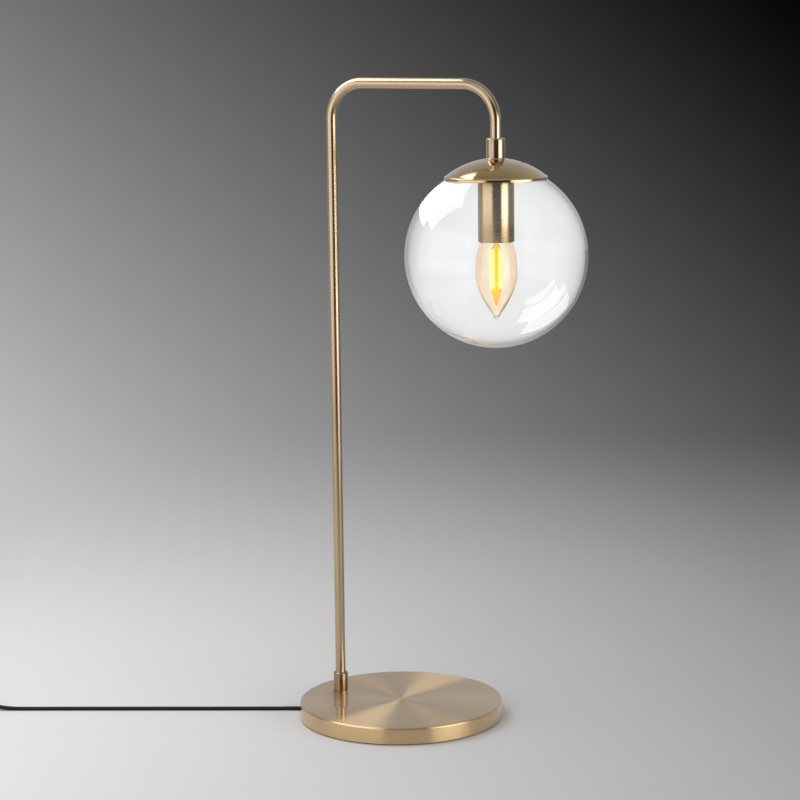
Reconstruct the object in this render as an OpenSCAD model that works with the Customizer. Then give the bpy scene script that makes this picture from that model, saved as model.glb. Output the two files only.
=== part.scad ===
// Bedside lamp: a round weighted base, a thin bent tube, and a clear glass globe
// that hangs from the tube's end under a domed cap, round a candle bulb.
// Millimetres, +Z up. The origin is the centre of the base's foot, on the table.
// +X runs along the arm, from the upright tube to the globe.

/* [Base] */
// Outer diameter of the base
base_d = 174; // [160:1:190]
// Height of the base shell above the pad
shell_h = 13.8; // [12.8:0.2:20]
// Sheet thickness of the base shell
shell_wall = 1.5; // [1:0.1:2]
// Radius of the rounded top edge of the base
edge_r = 1.6; // [0.6:0.1:2.4]
// Thickness of the soft pad under the base
pad_t = 1; // [0.8:0.1:1.6]
// How far the pad stays inside the edge of the base
pad_inset = 2.5; // [1:0.5:6]
// Thickness of the steel plate that closes the base
plate_t = 1; // [0.8:0.1:1.4]
// Distance of the three plate screws from the centre of the base
screw_circle = 60; // [40:1:68]
// Width of the notch for the cord in the wall of the base
notch_w = 8; // [7.6:0.1:10]
// Height of that notch above the shell's lower edge
notch_h = 3.4; // [3.2:0.1:4.6]

/* [Stem] */
// Distance of the upright tube from the edge of the base
stem_inset = 25.5; // [23:0.5:32]
// Outer diameter of the bent tube
tube_d = 8.8; // [8.4:0.1:9.4]
// Wall thickness of the bent tube
tube_wall = 0.7; // [0.5:0.1:0.8]
// Height of the arm's centre line above the table
arm_z = 541.5; // [460:0.5:640]
// Distance between the upright tube and the hanging end
arm_reach = 157.5; // [140:0.5:220]
// Centre line radius of both bends
bend_r = 30; // [20:1:40]
// Outer diameter of the collar on the base
foot_collar_d = 12.5; // [12.2:0.1:16]
// Height of the collar on the base
foot_collar_h = 16; // [12:0.5:24]
// Bevel round the free end of each collar
collar_bevel = 0.7; // [0.3:0.1:1]

/* [Cap] */
// Height from the arm's centre line down to the upper collar
drop_h = 43.5; // [40:0.5:80]
// Outer diameter of the collar on the cap
cap_collar_d = 15.5; // [13:0.1:18]
// Height of the collar on the cap
cap_collar_h = 16; // [12:0.5:24]
// Outer radius of the cap's rim
cap_r = 42.1; // [40:0.1:46]
// Height of the cap from its rim to its top
cap_h = 17.4; // [15.6:0.1:18]
// Height of the rolled band round the rim
rim_h = 3; // [2.4:0.1:3.6]
// How far the rolled band stands out beyond the dome
rim_over = 0.7; // [0.3:0.1:1]
// Sheet thickness of the cap
cap_wall = 1; // [0.6:0.1:1.2]
// Number of vent holes in the cap
vent_count = 4; // [3:1:6]
// Diameter of one vent hole
vent_d = 3; // [2:0.1:4]
// Distance of the vent holes from the axis of the cap
vent_circle = 21.5; // [18:0.5:26]

/* [Globe] */
// Outer diameter of the glass globe
globe_d = 150; // [146:1:170]
// Wall thickness of the globe
globe_wall = 2; // [1.5:0.1:2.4]
// Diameter of the ground hole at the top of the globe
globe_hole_d = 60; // [58:0.5:62]
// Gap between the globe and the cap's rim
seat_gap = 0.3; // [0.2:0.05:0.4]
// How far the globe can be pulled down
globe_travel = 130; // [120:1:150]
// Width of one arm of the spring that holds the globe
spring_w = 8; // [6:0.5:10]

/* [Lampholder] */
// Outer diameter of the brass sleeve
sleeve_d = 29.6; // [28:0.1:32]
// Wall thickness of the sleeve
sleeve_wall = 0.8; // [0.6:0.1:1.2]
// Length of the sleeve
sleeve_h = 61; // [54:0.5:62]
// Outer diameter of the plastic lampholder
holder_d = 24; // [22:0.2:25.6]
// Length of the lampholder, with its threaded top
holder_h = 46; // [44:0.5:48]

/* [Bulb] */
// Largest diameter of the bulb
bulb_d = 34; // [30:0.5:35]
// Length of the bulb's glass
glass_l = 75.8; // [70:0.1:78]
// Wall thickness of the bulb's glass
bulb_wall = 0.8; // [0.5:0.1:1]
// Outer diameter of the bulb's thread
bulb_thread_d = 13.9; // [13.5:0.1:14]
// Number of lit filaments
filament_count = 4; // [2:1:6]
// Length of one filament
filament_l = 32; // [26:1:34]

/* [Cord, switch and plug] */
// Width of the flat two core cord
cord_w = 5.2; // [4.8:0.1:5.4]
// Thickness of the cord, which is one core
cord_t = 2.6; // [2.4:0.1:2.7]
// Length of the switch on the cord
switch_l = 60; // [56:1:62]
// Width of the switch
switch_w = 26; // [24:1:32]
// Height of the switch without its rocker
switch_h = 17; // [16:0.5:20]
// Angle that the rocker turns from on to off
rocker_angle = 14; // [8:1:16]
// Length of the plug's body
plug_l = 34; // [30:1:38]
// Width of the plug's body at its face
plug_w = 35; // [33:1:38]
// Thickness of the plug's body
plug_t = 13.7; // [12:0.1:15]
// Distance between the two pins
pin_gap = 18.6; // [18.2:0.1:19]
// Diameter of one pin
pin_d = 4; // [3.8:0.1:4.2]
// Length of one pin outside the plug
pin_l = 19; // [17:0.5:20]

/* [Hidden] */
$fn = 96;

// Fits shared by several pieces
fit = 0.05;            // radial gap of a pressed or threaded joint
slip = 0.3;            // gap round a piece that goes in loosely
nipple_d = 9.8;        // threaded tube that joins a collar to what it holds
nipple_bore = 8;
nut_flats = 15;        // width of the thin hex nuts
nut_h = 3.2;
washer_d = 16;
washer_t = 0.9;

// Heights in the base
base_r = base_d / 2;
base_top = pad_t + shell_h;
plate_top = pad_t + plate_t;
weight_top = base_top - shell_wall;
shell_in_r = base_r - shell_wall;
web_t = 2;             // iron left above the nut's pocket
pocket_top = weight_top - web_t;
stem_nut_z = pocket_top - washer_t - nut_h;
stem_x = stem_inset - base_r;
foot_tube_z = base_top + foot_collar_h / 2;

// Heights of the hanging end
drop_x = stem_x + arm_reach;
cap_collar_z = arm_z - drop_h - cap_collar_h;
cap_top = cap_collar_z;
drop_end_z = cap_collar_z + cap_collar_h / 2;
rim_z = cap_top - cap_h;
globe_r = globe_d / 2;
globe_z = rim_z - sqrt(pow(globe_r + seat_gap, 2) - cap_r * cap_r);
dome_edge_r = cap_r - rim_over;
dome_rise = cap_h - rim_h + 0.4;
dome_r = (dome_edge_r * dome_edge_r + dome_rise * dome_rise) / (2 * dome_rise);
dome_z = cap_top - dome_r;
seat_r = 11;           // flat inside the cap that the spring's hub lies on
seat_z = dome_z + sqrt(pow(dome_r - cap_wall, 2) - seat_r * seat_r);
hub_t = 0.8;
hub_z = seat_z - hub_t;
cap_nut_z = hub_z - washer_t - nut_h;
sleeve_top = cap_nut_z;
sleeve_lid = 1;
sleeve_bottom = sleeve_top - sleeve_h;
holder_top = sleeve_top - sleeve_lid;
holder_cap_h = 9;
holder_cap_z = holder_top - holder_cap_h;
holder_bottom = holder_top - holder_h;
cap_nipple_z = holder_cap_z + 2;

// Heights of the lampholder's insides and of the bulb
thread_r = bulb_thread_d / 2;
shell_gap = 0.35;      // between the bulb's thread and the screw shell
shell_in = thread_r + shell_gap;
screw_shell_wall = 0.5;
shell_out = shell_in + screw_shell_wall;
holder_bore = shell_out + fit;
neck_z = holder_bottom - 2.4;
skirt_h = 1.9;
skirt_r = 8;
thread_h = 16;
insulator_h = 3;
contact_h = 1.6;
contact_r = 2.4;
thread_top = neck_z + thread_h;
insulator_top = thread_top + insulator_h;
contact_top = insulator_top + contact_h;
touch_gap = 0.3;       // between the bulb's contact and the holder's
insert_z = contact_top + 2.8;
insert_h = 6;
insert_top = insert_z + insert_h;
tip_z = neck_z - glass_l;
neck_r = 9.4;
crown_z = sleeve_bottom - 6.5;
filament_low = crown_z - filament_l;
apex_z = filament_low - 14;
crown_r = 5.2;
filament_d = 2.2;
lead_d = 0.5;

// Inside the base
pocket_r = 12;         // pocket in the weight round the nut
pocket_w = 14;         // pocket in the weight along the cord
pocket_l = 26;
screw_d = 4;
head_d = 7;
head_h = 0.6;
screw_angles = [60, 140, 300];
screw_in = 7;          // how deep the screws' holes go into the weight
grommet_lip = 0.9;     // how far the grommet stands out from each side of the wall
grommet_t = 1.1;       // rubber between the cord and the notch
stop_l = 7;            // saddle that is clamped on the cord behind the wall
stop_w = 10;
stop_h = 4.4;

// Inside the cap, and the spring that holds the globe
rim_round = 1.1;
rim_w = 2.6;
land_h = 1;            // flat land under the collar
vent_turn = 24;
hole_r = globe_hole_d / 2;
glass_in_r = globe_r - globe_wall;
lip_z = globe_z + sqrt(glass_in_r * glass_in_r - hole_r * hole_r);
spring_t = 0.7;
hook_r = hole_r + 0.6; // where the hook is under the glass
spring_angles = [90, 210, 330];

// Inside the lampholder
insert_r = holder_bore + 1;
terminal_y = 5;
terminal_d = 2.6;
terminal_in = 4;
terminal_head = 1.5;
core_bare = 1.2;       // bare end of one core
flex_end_z = insert_top + 5;
wire_z = flex_end_z - 1.5;

// Inside the bulb
cap_sheet = 0.5;
lead_turn = 76;
bead_r = 4.6;          // pointed bead that closes the lower end of the post
wide_z = tip_z + 37;   // height of the widest place
driver_l = 11;

// The switch, the tie round the coil, and the plug
split_z = 8;           // height of the joint between the switch's halves
switch_round = 8;
switch_wall = 1.6;
switch_end = 7;        // solid length at each end of the switch
window_l = 20;
window_w = 12;
rocker_l = window_l / 2 - 1;
pivot_d = 2;
pivot_z = switch_h - 2.2;
ear_t = 2.2;           // the two ears beside the window that carry the rocker's pivot
ear_w = 6;
case_screw_x = switch_l / 2 - 4;
case_screw_y = 8;
case_screw_d = 2;
bore_gap = 0.15;       // between the cord and the holes it enters
contact_x = 14;
contact_w = 6;
tie_t = 1;
tie_w = 8;
tie_gap = 0.3;
tie_turn = 120;
relief_l = 24;
relief_d = 11.5;
pin_core_d = 2.6;
pin_in = 8;            // how deep the pins sit in the plug
pin_tip = 1;

// The cord outside the lamp, as points on its centre line with the turn of its flat
// side in degrees: 0 lies flat on the table and 90 stands on edge. It leaves at the
// notch, runs straight off to the left, passes the switch and goes into a coil.
cord_angle = 209;
notch_x = -83;
notch_y = -27.5;
cord_in = [-cos(cord_angle), -sin(cord_angle)];
notch_in = -(notch_x * cord_in[0] + notch_y * cord_in[1]);
cord_off = sqrt(notch_x * notch_x + notch_y * notch_y - notch_in * notch_in);
wall_in = max(0, notch_in - sqrt(base_r * base_r - cord_off * cord_off));
slot_reach = base_r - norm([notch_x, notch_y]) + 6;
stop_in = wall_in + 7; // how far the cord's stop is from the notch
stop_slope = 12.7;
function inside(t, z) = [notch_x + t * cord_in[0], notch_y + t * cord_in[1], z, 0];
cord_axis_z = 7.2;     // height of the cord in the switch
run_route = [[-83, -27.5, 1.6, 0], [-92, -32.5, 1.5, 0], [-102, -38, 1.35, 0],
    [-125, -50.8, 1.35, 0], [-150, -64.7, 1.35, 0], [-175, -78.5, 1.35, 0],
    [-200, -92.3, 1.35, 0], [-225, -106.2, 1.35, 0], [-250, -120, 1.35, 0],
    [-275, -133.9, 1.35, 0], [-300, -147.7, 1.35, 0], [-308, -152.2, 1.7, 0],
    [-316, -156.6, 2.9, 0], [-323, -160.5, 4.9, 0], [-329, -163.8, 6.6, 0],
    [-334, -166.6, 7.2, 0], [-341.9, -171, 7.2, 0]];
switch_x = -360.3;
switch_y = -181.2;
link_route = [[-378.7, -191.4, 7.2, 0], [-386.6, -195.8, 7.2, 0], [-392, -198.8, 6.5, 8],
    [-399, -202.7, 4.8, 25], [-407, -207.1, 3.4, 50], [-415, -211.5, 2.8, 75],
    [-424, -216.4, 2.65, 90]];
coil_x = -407.3;
coil_y = -246.5;
coil_inner = 21.8;
coil_outer = 36.2;
coil_h = 10.7;
tail_route = [[-407.3, -279.3, 8.1, 90], [-397, -279.3, 8.1, 90], [-389, -279.3, 7.6, 80],
    [-380, -279.3, 5.6, 50], [-371, -279.3, 3.2, 18], [-363, -279.3, 1.8, 0],
    [-355, -279.3, 1.9, 0], [-347, -279.3, 3.9, 0], [-340, -279.3, 6, 0],
    [-335, -279.3, 6.85, 0], [-331, -279.3, 6.85, 0]];
plug_x = -331;
plug_y = -279.3;
plug_z = plug_t / 2;

// The flex inside the base, and up to the twist in the upright tube
inner_route = [inside(0, 1.6), inside(wall_in + 1.6, 1.62), inside(wall_in + 5, 1.85),
    inside(wall_in + 9, 2.75), inside(wall_in + 13, 3.65), [stem_x - 5.9, -16.6, 4, 0],
    [stem_x - 2.7, -12.6, 4, 0], [stem_x - 0.8, -9, 3.9, 0], [stem_x, -6, 3.7, 0],
    [stem_x, -4, 3.9, 0], [stem_x, -2.2, 4.9, 0], [stem_x, -0.9, 6.9, 0],
    [stem_x, -0.2, 9.5, 0], [stem_x, 0, 12, 0], [stem_x, 0, 18, 20],
    [stem_x, 0, 26, 45], [stem_x, 0, 33, 70], [stem_x, 0, 40, 90]];
flex_start_z = 40;

// Colours, as the photograph shows them
brass = [0.74, 0.60, 0.42];
iron = [0.26, 0.26, 0.27];
steel = [0.66, 0.66, 0.68];
black = [0.06, 0.06, 0.06];
white = [0.9, 0.9, 0.88];
clear = [0.85, 0.9, 0.92, 0.3];
amber = [0.85, 0.55, 0.2, 0.5];
glow = [1, 0.85, 0.1];

// Round shapes used again and again

module ring(r_out, r_in, h) {
    difference() {
        cylinder(h = h, r = r_out);
        translate([0, 0, -1]) cylinder(h = h + 2, r = r_in);
    }
}

module hex_nut(flats, bore_d, h) {
    difference() {
        cylinder(h = h, d = flats / cos(30), $fn = 6);
        translate([0, 0, -1]) cylinder(h = h + 2, d = bore_d);
    }
}

// A turned collar with a bevelled free end, bored from below and from above
module collar(d, h, low_bore, low_h, high_bore) {
    rotate_extrude()
        difference() {
            polygon([[0, 0], [d / 2, 0], [d / 2, h - collar_bevel],
                [d / 2 - collar_bevel, h], [0, h]]);
            translate([0, -1]) square([low_bore / 2, low_h + 1]);
            translate([0, low_h]) square([high_bore / 2, h]);
        }
}

// A flat shape with round corners, centred on the origin
module rounded_rect(l, w, r) {
    square([l - 2 * r, w], center = true);
    square([l, w - 2 * r], center = true);
    for (x = [-1, 1], y = [-1, 1])
        translate([x * (l / 2 - r), y * (w / 2 - r)]) circle(r = r);
}

// The cross section of the flat cord, thin along X and wide along Y
module cord_section(gap = 0) {
    square([cord_t + 2 * gap, cord_w - cord_t], center = true);
    for (y = [-1, 1]) translate([0, y * (cord_w - cord_t) / 2]) circle(d = cord_t + 2 * gap);
}

// A straight wire between two points
module wire(a, b, d) {
    v = b - a;
    translate(a) rotate([0, acos(v[2] / norm(v)), atan2(v[1], v[0])]) cylinder(d = d, h = norm(v), $fn = 16);
}

// Sweeps the cord's section along a route of [x, y, z, turn] rows
function section_points(half) = [for (i = [0:2 * half - 1])
    let(right = i < half, k = right ? i : i - half, a = -90 + 180 * k / (half - 1),
        c = (cord_w - cord_t) / 2 * (right ? 1 : -1), s = right ? 1 : -1)
    [c + s * cord_t / 2 * cos(a), s * cord_t / 2 * sin(a)]];
function at(row) = [row[0], row[1], row[2]];
function unit(v) = v / norm(v);
function heading(route, i) = unit(at(route[min(i + 1, len(route) - 1)]) - at(route[max(i - 1, 0)]));
function side_of(t) = norm([t[0], t[1]]) > 0.1 ? unit(cross([0, 0, 1], t)) : [-1, 0, 0];
function ring_at(route, i, shape) =
    let(t = heading(route, i), s = side_of(t), n = cross(t, s), a = route[i][3],
        u = s * cos(a) + n * sin(a), v = n * cos(a) - s * sin(a))
    [for (p = shape) at(route[i]) + u * p[0] + v * p[1]];

module cord_tube(route) {
    shape = section_points(4);
    n = len(shape);
    rows = len(route);
    points = [for (i = [0:rows - 1]) each ring_at(route, i, shape)];
    sides = [for (i = [0:rows - 2], k = [0:n - 1]) let(a = i * n + k, b = i * n + (k + 1) % n)
        each [[a, b + n, b], [a, a + n, b + n]]];
    start = [[for (k = [0:n - 1]) k]];
    end = [[for (k = [n - 1:-1:0]) (rows - 1) * n + k]];
    polyhedron(points, concat(sides, start, end));
}

// The base

module base_section() {
    r = base_r - edge_r;
    square([r, shell_h]);
    square([base_r, shell_h - edge_r]);
    translate([r, shell_h - edge_r]) circle(r = edge_r);
}

// A slot along the cord's way out, from the outside to a depth inside the wall
module cord_slot(w, depth, z0, z1) {
    translate([notch_x, notch_y, z0]) rotate([0, 0, cord_angle])
        translate([-depth - wall_in, -w / 2, 0]) cube([depth + wall_in + slot_reach, w, z1 - z0]);
}

module base_shell() color(brass)
    difference() {
        translate([0, 0, pad_t]) rotate_extrude() base_section();
        translate([0, 0, pad_t - 1]) cylinder(r = shell_in_r, h = shell_h - shell_wall + 1);
        translate([stem_x, 0, 0]) cylinder(d = nipple_d + 2 * fit, h = base_top + 1);
        cord_slot(notch_w, pocket_r, pad_t - 1, pad_t + notch_h);
    }

// The pocket in the weight holds the nut, the cord and its stop
module weight_pocket(z0, z1) {
    translate([stem_x, 0, z0]) cylinder(r = pocket_r, h = z1 - z0);
    cord_slot(pocket_w, pocket_l, z0, z1);
    translate([stem_x - pocket_r, -1.7 * pocket_r, z0]) cube([1.6 * pocket_r, 1.7 * pocket_r, z1 - z0]);
}

module base_weight() color(iron)
    difference() {
        translate([0, 0, plate_top]) cylinder(r = shell_in_r - slip, h = weight_top - plate_top);
        weight_pocket(plate_top - 1, pocket_top);
        translate([stem_x, 0, 0]) cylinder(d = nipple_d + 2 * fit, h = base_top);
        for (a = screw_angles) rotate([0, 0, a]) translate([screw_circle, 0, plate_top - 1])
            cylinder(d = screw_d, h = screw_in + 1);
    }

module base_plate() color(steel)
    difference() {
        translate([0, 0, pad_t]) cylinder(r = shell_in_r - slip, h = plate_t);
        cord_slot(pocket_w, pocket_w, 0, plate_top + 1);
        for (a = screw_angles) rotate([0, 0, a]) translate([screw_circle, 0, pad_t - 1]) {
            cylinder(d = screw_d + 2 * fit, h = plate_t + 2);
            cylinder(d = head_d + 2 * fit, h = 1 + head_h);
        }
    }

module base_pad() color(black)
    difference() {
        cylinder(r = base_r - pad_inset, h = pad_t);
        cord_slot(notch_w, pocket_w, -1, pad_t + 1);
    }

module plate_screws() color(steel)
    for (a = screw_angles) rotate([0, 0, a]) translate([screw_circle, 0, pad_t]) {
        cylinder(d = screw_d - 2 * fit, h = plate_t + screw_in - 1);
        cylinder(d = head_d, h = head_h);
    }

module cord_grommet() color(black)
    difference() {
        union() {
            intersection() {
                translate([0, 0, pad_t]) ring(base_r + grommet_lip, shell_in_r - grommet_lip, notch_h);
                cord_slot(notch_w - 2 * fit, pocket_r, pad_t, pad_t + notch_h - fit);
            }
            for (r = [shell_in_r - grommet_lip, base_r + fit])
                intersection() {
                    translate([0, 0, pad_t]) ring(r + grommet_lip - fit, r, notch_h + grommet_lip);
                    cord_slot(notch_w + 2 * grommet_lip, pocket_r, pad_t, pad_t + notch_h + grommet_lip);
                }
        }
        cord_slot(notch_w - 2 * grommet_t, pocket_r, -1, pad_t + notch_h - grommet_t);
    }

// The cord rises through the stop at the slope of its route there
module cord_stop() color(black)
    translate([inside(stop_in, 0)[0], inside(stop_in, 0)[1], 0]) rotate([0, 0, cord_angle])
        difference() {
            translate([-stop_l / 2, -stop_w / 2, plate_top + fit]) cube([stop_l, stop_w, stop_h]);
            translate([0, 0, (inner_route[2][2] + inner_route[3][2]) / 2]) rotate([0, stop_slope, 0])
                rotate([0, 90, 0]) linear_extrude(stop_l * 2, center = true) cord_section();
        }

module stem_nipple() color(steel)
    translate([stem_x, 0, stem_nut_z - 0.3])
        ring(nipple_d / 2, nipple_bore / 2, foot_tube_z - 0.2 - stem_nut_z + 0.3);

module stem_washer() color(steel)
    translate([stem_x, 0, pocket_top - washer_t]) ring(washer_d / 2, nipple_d / 2 + fit, washer_t);

module stem_nut() color(steel)
    translate([stem_x, 0, stem_nut_z]) hex_nut(nut_flats, nipple_d + 2 * fit, nut_h);

// The stem

module foot_collar() color(brass)
    translate([stem_x, 0, base_top])
        collar(foot_collar_d, foot_collar_h, nipple_d + 2 * fit, foot_collar_h / 2, tube_d + 2 * fit);

// A path of straight and bent lengths: up the stem, along the arm and down the drop
module along_stem(z0, z1) {
    translate([stem_x, 0, z0]) linear_extrude(arm_z - bend_r - z0) children();
    translate([stem_x + bend_r, 0, arm_z - bend_r]) rotate([90, 0, 0]) rotate([0, 0, 90])
        rotate_extrude(angle = 90) translate([bend_r, 0]) children();
    translate([stem_x + bend_r, 0, arm_z]) rotate([0, 90, 0])
        linear_extrude(arm_reach - 2 * bend_r) children();
    translate([drop_x - bend_r, 0, arm_z - bend_r]) rotate([90, 0, 0])
        rotate_extrude(angle = 90) translate([bend_r, 0]) children();
    translate([drop_x, 0, z1]) linear_extrude(arm_z - bend_r - z1) children();
}

module stem_tube() color(brass)
    along_stem(foot_tube_z, drop_end_z)
        difference() {
            circle(d = tube_d);
            circle(d = tube_d - 2 * tube_wall);
        }

module flex_in_base() color(black) cord_tube(inner_route);

module flex_in_stem() color(black) along_stem(flex_start_z, flex_end_z) cord_section();

// The cap and its fixings

module cap_collar() color(brass)
    translate([drop_x, 0, cap_collar_z])
        collar(cap_collar_d, cap_collar_h, nipple_d + 2 * fit, cap_collar_h / 2, tube_d + 2 * fit);

module cap_section() {
    intersection() {
        difference() {
            translate([0, dome_z]) circle(r = dome_r);
            translate([0, dome_z]) circle(r = dome_r - cap_wall);
        }
        translate([0, rim_z + rim_h - 0.4]) square([cap_r, cap_h]);
    }
    intersection() {
        translate([0, dome_z]) circle(r = dome_r);
        translate([0, seat_z]) square([seat_r, cap_h]);
    }
    translate([0, cap_top - land_h]) square([cap_collar_d / 2, land_h]);
    difference() {
        translate([cap_r - rim_w / 2, rim_z + rim_h / 2]) rounded_rect(rim_w, rim_h, rim_round);
        translate([0, globe_z]) circle(r = globe_r + seat_gap);
    }
}

module cap() color(brass)
    translate([drop_x, 0, 0])
        difference() {
            rotate_extrude() intersection() {
                cap_section();
                translate([0, rim_z - 1]) square([cap_r, cap_h + 2]);
            }
            translate([0, 0, seat_z - 1]) cylinder(d = nipple_d + 2 * fit, h = cap_h);
            for (i = [0:vent_count - 1]) rotate([0, 0, vent_turn + i * 360 / vent_count])
                translate([vent_circle, 0, rim_z + rim_h]) cylinder(d = vent_d, h = cap_h, $fn = 32);
        }

module cap_nipple() color(steel)
    translate([drop_x, 0, cap_nipple_z])
        ring(nipple_d / 2, nipple_bore / 2, drop_end_z - 0.2 - cap_nipple_z);

module cap_washer() color(steel)
    translate([drop_x, 0, hub_z - washer_t]) ring(washer_d / 2, nipple_d / 2 + fit, washer_t);

module cap_nut() color(steel)
    translate([drop_x, 0, cap_nut_z]) hex_nut(nut_flats, nipple_d + 2 * fit, nut_h);

// Three leaf arms go out from a hub and hook under the edge of the globe's hole
module spring_arm() {
    rotate([90, 0, 0]) linear_extrude(spring_w, center = true)
        polygon([[7, hub_z], [seat_r, hub_z], [hole_r - 3.2, lip_z + 1.2], [hook_r - spring_t, lip_z - 1.6],
            [hole_r - 3, lip_z - 4.6], [hole_r - 2.2, lip_z - 4.9], [hook_r, lip_z - 1.6],
            [hole_r - 2.4, lip_z + 1.5], [seat_r - 1, hub_z + spring_t], [7, hub_z + spring_t]]);
}

module globe_spring() color(steel)
    translate([drop_x, 0, 0]) {
        translate([0, 0, hub_z]) ring(seat_r - 1, nipple_d / 2 + fit, hub_t);
        difference() {
            for (a = spring_angles) rotate([0, 0, a]) spring_arm();
            translate([0, 0, hub_z - 1]) cylinder(r = seat_r - 2, h = 4);
        }
    }

module globe() color(clear)
    translate([drop_x, 0, globe_z])
        difference() {
            sphere(r = globe_r);
            sphere(r = glass_in_r);
            cylinder(r = hole_r, h = globe_d);
        }

// The lampholder

module sleeve() color(brass)
    translate([drop_x, 0, sleeve_bottom])
        difference() {
            cylinder(d = sleeve_d, h = sleeve_h);
            translate([0, 0, -1]) cylinder(d = sleeve_d - 2 * sleeve_wall, h = sleeve_h - sleeve_lid + 1);
            cylinder(d = nipple_d + 2 * fit, h = sleeve_h + 1);
        }

module holder_cap() color(white)
    translate([drop_x, 0, holder_cap_z])
        difference() {
            cylinder(d = holder_d, h = holder_cap_h);
            translate([0, 0, cap_nipple_z - holder_cap_z]) cylinder(d = nipple_d + 2 * fit, h = holder_cap_h);
            translate([0, 0, -1]) cylinder(d = nipple_bore - 1, h = holder_cap_h);
        }

module holder_body() color(white)
    translate([drop_x, 0, 0])
        difference() {
            translate([0, 0, holder_bottom]) cylinder(d = holder_d, h = holder_cap_z - holder_bottom);
            translate([0, 0, holder_bottom - 1]) cylinder(r = holder_bore, h = insert_z - holder_bottom + 1);
            translate([0, 0, insert_z]) cylinder(r = insert_r + fit, h = holder_cap_z - insert_z + 1);
        }

module holder_insert() color(white)
    translate([drop_x, 0, insert_z])
        difference() {
            cylinder(r = insert_r, h = insert_h);
            for (y = [-terminal_y, terminal_y]) translate([0, y, insert_h - terminal_in])
                cylinder(d = terminal_d + 2 * fit, h = insert_h, $fn = 32);
            translate([0, 0, -1]) cylinder(r = contact_r - 1 + fit, h = 3);
        }

module holder_shell() color(brass)
    translate([drop_x, 0, holder_bottom + 1.5]) ring(shell_out, shell_in, thread_top - holder_bottom - 1.5);

// A leaf with a rivet in the insert, just above the tip of the bulb
module centre_contact() color(brass)
    translate([drop_x, 0, 0]) {
        translate([0, 0, contact_top + touch_gap]) cylinder(r = contact_r, h = 0.6);
        translate([0, 0, contact_top + touch_gap]) cylinder(r = contact_r - 1, h = insert_z + 1.8 - contact_top - touch_gap);
    }

module terminal_screws() color(steel)
    for (y = [-terminal_y, terminal_y]) translate([drop_x, y, insert_top - terminal_in]) {
        cylinder(d = terminal_d, h = terminal_in, $fn = 32);
        translate([0, 0, terminal_in]) cylinder(d = terminal_d + 2, h = terminal_head, $fn = 32);
    }

// The two cores leave the end of the flex, spread, and go down to the two terminals
module holder_wires() color([0.35, 0.2, 0.12])
    for (s = [-1, 1]) translate([drop_x, 0, 0]) {
        wire([0, s * cord_t / 2, flex_end_z], [0, s * cord_t / 2, wire_z], core_bare);
        wire([0, s * cord_t / 2, wire_z], [0, s * terminal_y, wire_z], core_bare);
        wire([0, s * terminal_y, wire_z], [0, s * terminal_y, insert_top + terminal_head], core_bare);
        for (y = [cord_t / 2, terminal_y]) translate([0, s * y, wire_z]) sphere(d = core_bare, $fn = 24);
    }

// The bulb

// One smooth curve from four control points, in steps
function bezier(p, n) = [for (i = [0:n]) let(t = i / n, u = 1 - t)
    p[0] * pow(u, 3) + 3 * p[1] * u * u * t + 3 * p[2] * u * t * t + p[3] * pow(t, 3)];
function bulb_outline(r, neck, tip, top) = concat(
    bezier([[neck, top], [neck + 2.2, top - 9], [r, wide_z + 22], [r, wide_z]], 12),
    bezier([[r, wide_z], [r, wide_z - 15], [4.2, tip + 6.2], [1.6, tip + 0.9]], 14),
    [[0, tip]]);

module bulb_glass() color(amber)
    translate([drop_x, 0, 0]) rotate_extrude() difference() {
        polygon(concat([[0, neck_z]], bulb_outline(bulb_d / 2, neck_r, tip_z, neck_z)));
        polygon(concat([[0, neck_z + 1]], [[neck_r - 2.4, neck_z + 1]],
            bulb_outline(bulb_d / 2 - bulb_wall, neck_r - 2.4, tip_z + 2.4, neck_z)));
    }

module bulb_cap() color(steel)
    translate([drop_x, 0, neck_z])
        difference() {
            union() {
                cylinder(r = skirt_r, h = skirt_h);
                cylinder(r = thread_r, h = thread_h);
            }
            translate([0, 0, -1]) cylinder(r = thread_r - cap_sheet, h = thread_h + 2);
        }

module bulb_insulator() color(black)
    translate([drop_x, 0, thread_top]) cylinder(r1 = thread_r - cap_sheet / 2, r2 = contact_r + 0.8, h = insulator_h);

module bulb_contact() color(steel)
    translate([drop_x, 0, insulator_top]) {
        cylinder(r = contact_r, h = contact_h - 0.6);
        translate([0, 0, contact_h - 0.6]) cylinder(r1 = contact_r, r2 = contact_r - 1, h = 0.6);
    }

// The small board that feeds the filaments stands on the post inside the cap
module bulb_driver() color([0.1, 0.35, 0.2])
    translate([drop_x, 0, neck_z]) {
        translate([-4.5, -0.5, 0]) cube([9, 1, driver_l]);
        translate([-3, 0.5, 3]) cube([5, 3, 5]);
    }

// The glass post flares into the neck, and a pointed bead closes its lower end
module bulb_stem() color(amber)
    translate([drop_x, 0, 0]) rotate_extrude()
        polygon([[0, neck_z], [neck_r - 2.4, neck_z], [4.6, neck_z - 5], [2.4, neck_z - 9],
            [1.6, crown_z + 2], [1.3, filament_low + 1], [bead_r - 0.3, filament_low - 1], [bead_r, filament_low - 2],
            [0.8, apex_z], [0, apex_z - 0.4]]);

module filaments() color(glow)
    translate([drop_x, 0, 0])
        for (i = [0:filament_count - 1]) rotate([0, 0, lead_turn + i * 360 / filament_count])
            translate([crown_r, 0, filament_low]) cylinder(d = filament_d, h = filament_l, $fn = 24);

// A wire from the post to the top of each filament, and one from its foot to the bead
module filament_leads() color(steel)
    translate([drop_x, 0, 0])
        for (i = [0:filament_count - 1]) rotate([0, 0, lead_turn + i * 360 / filament_count]) {
            wire([1.9, 0, crown_z + 4.5], [crown_r, 0, crown_z + 0.2], lead_d);
            wire([crown_r, 0, filament_low - 0.2], [bead_r - 0.6, 0, filament_low - 2.4], lead_d);
        }

// The cord, its switch and its plug

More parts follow.
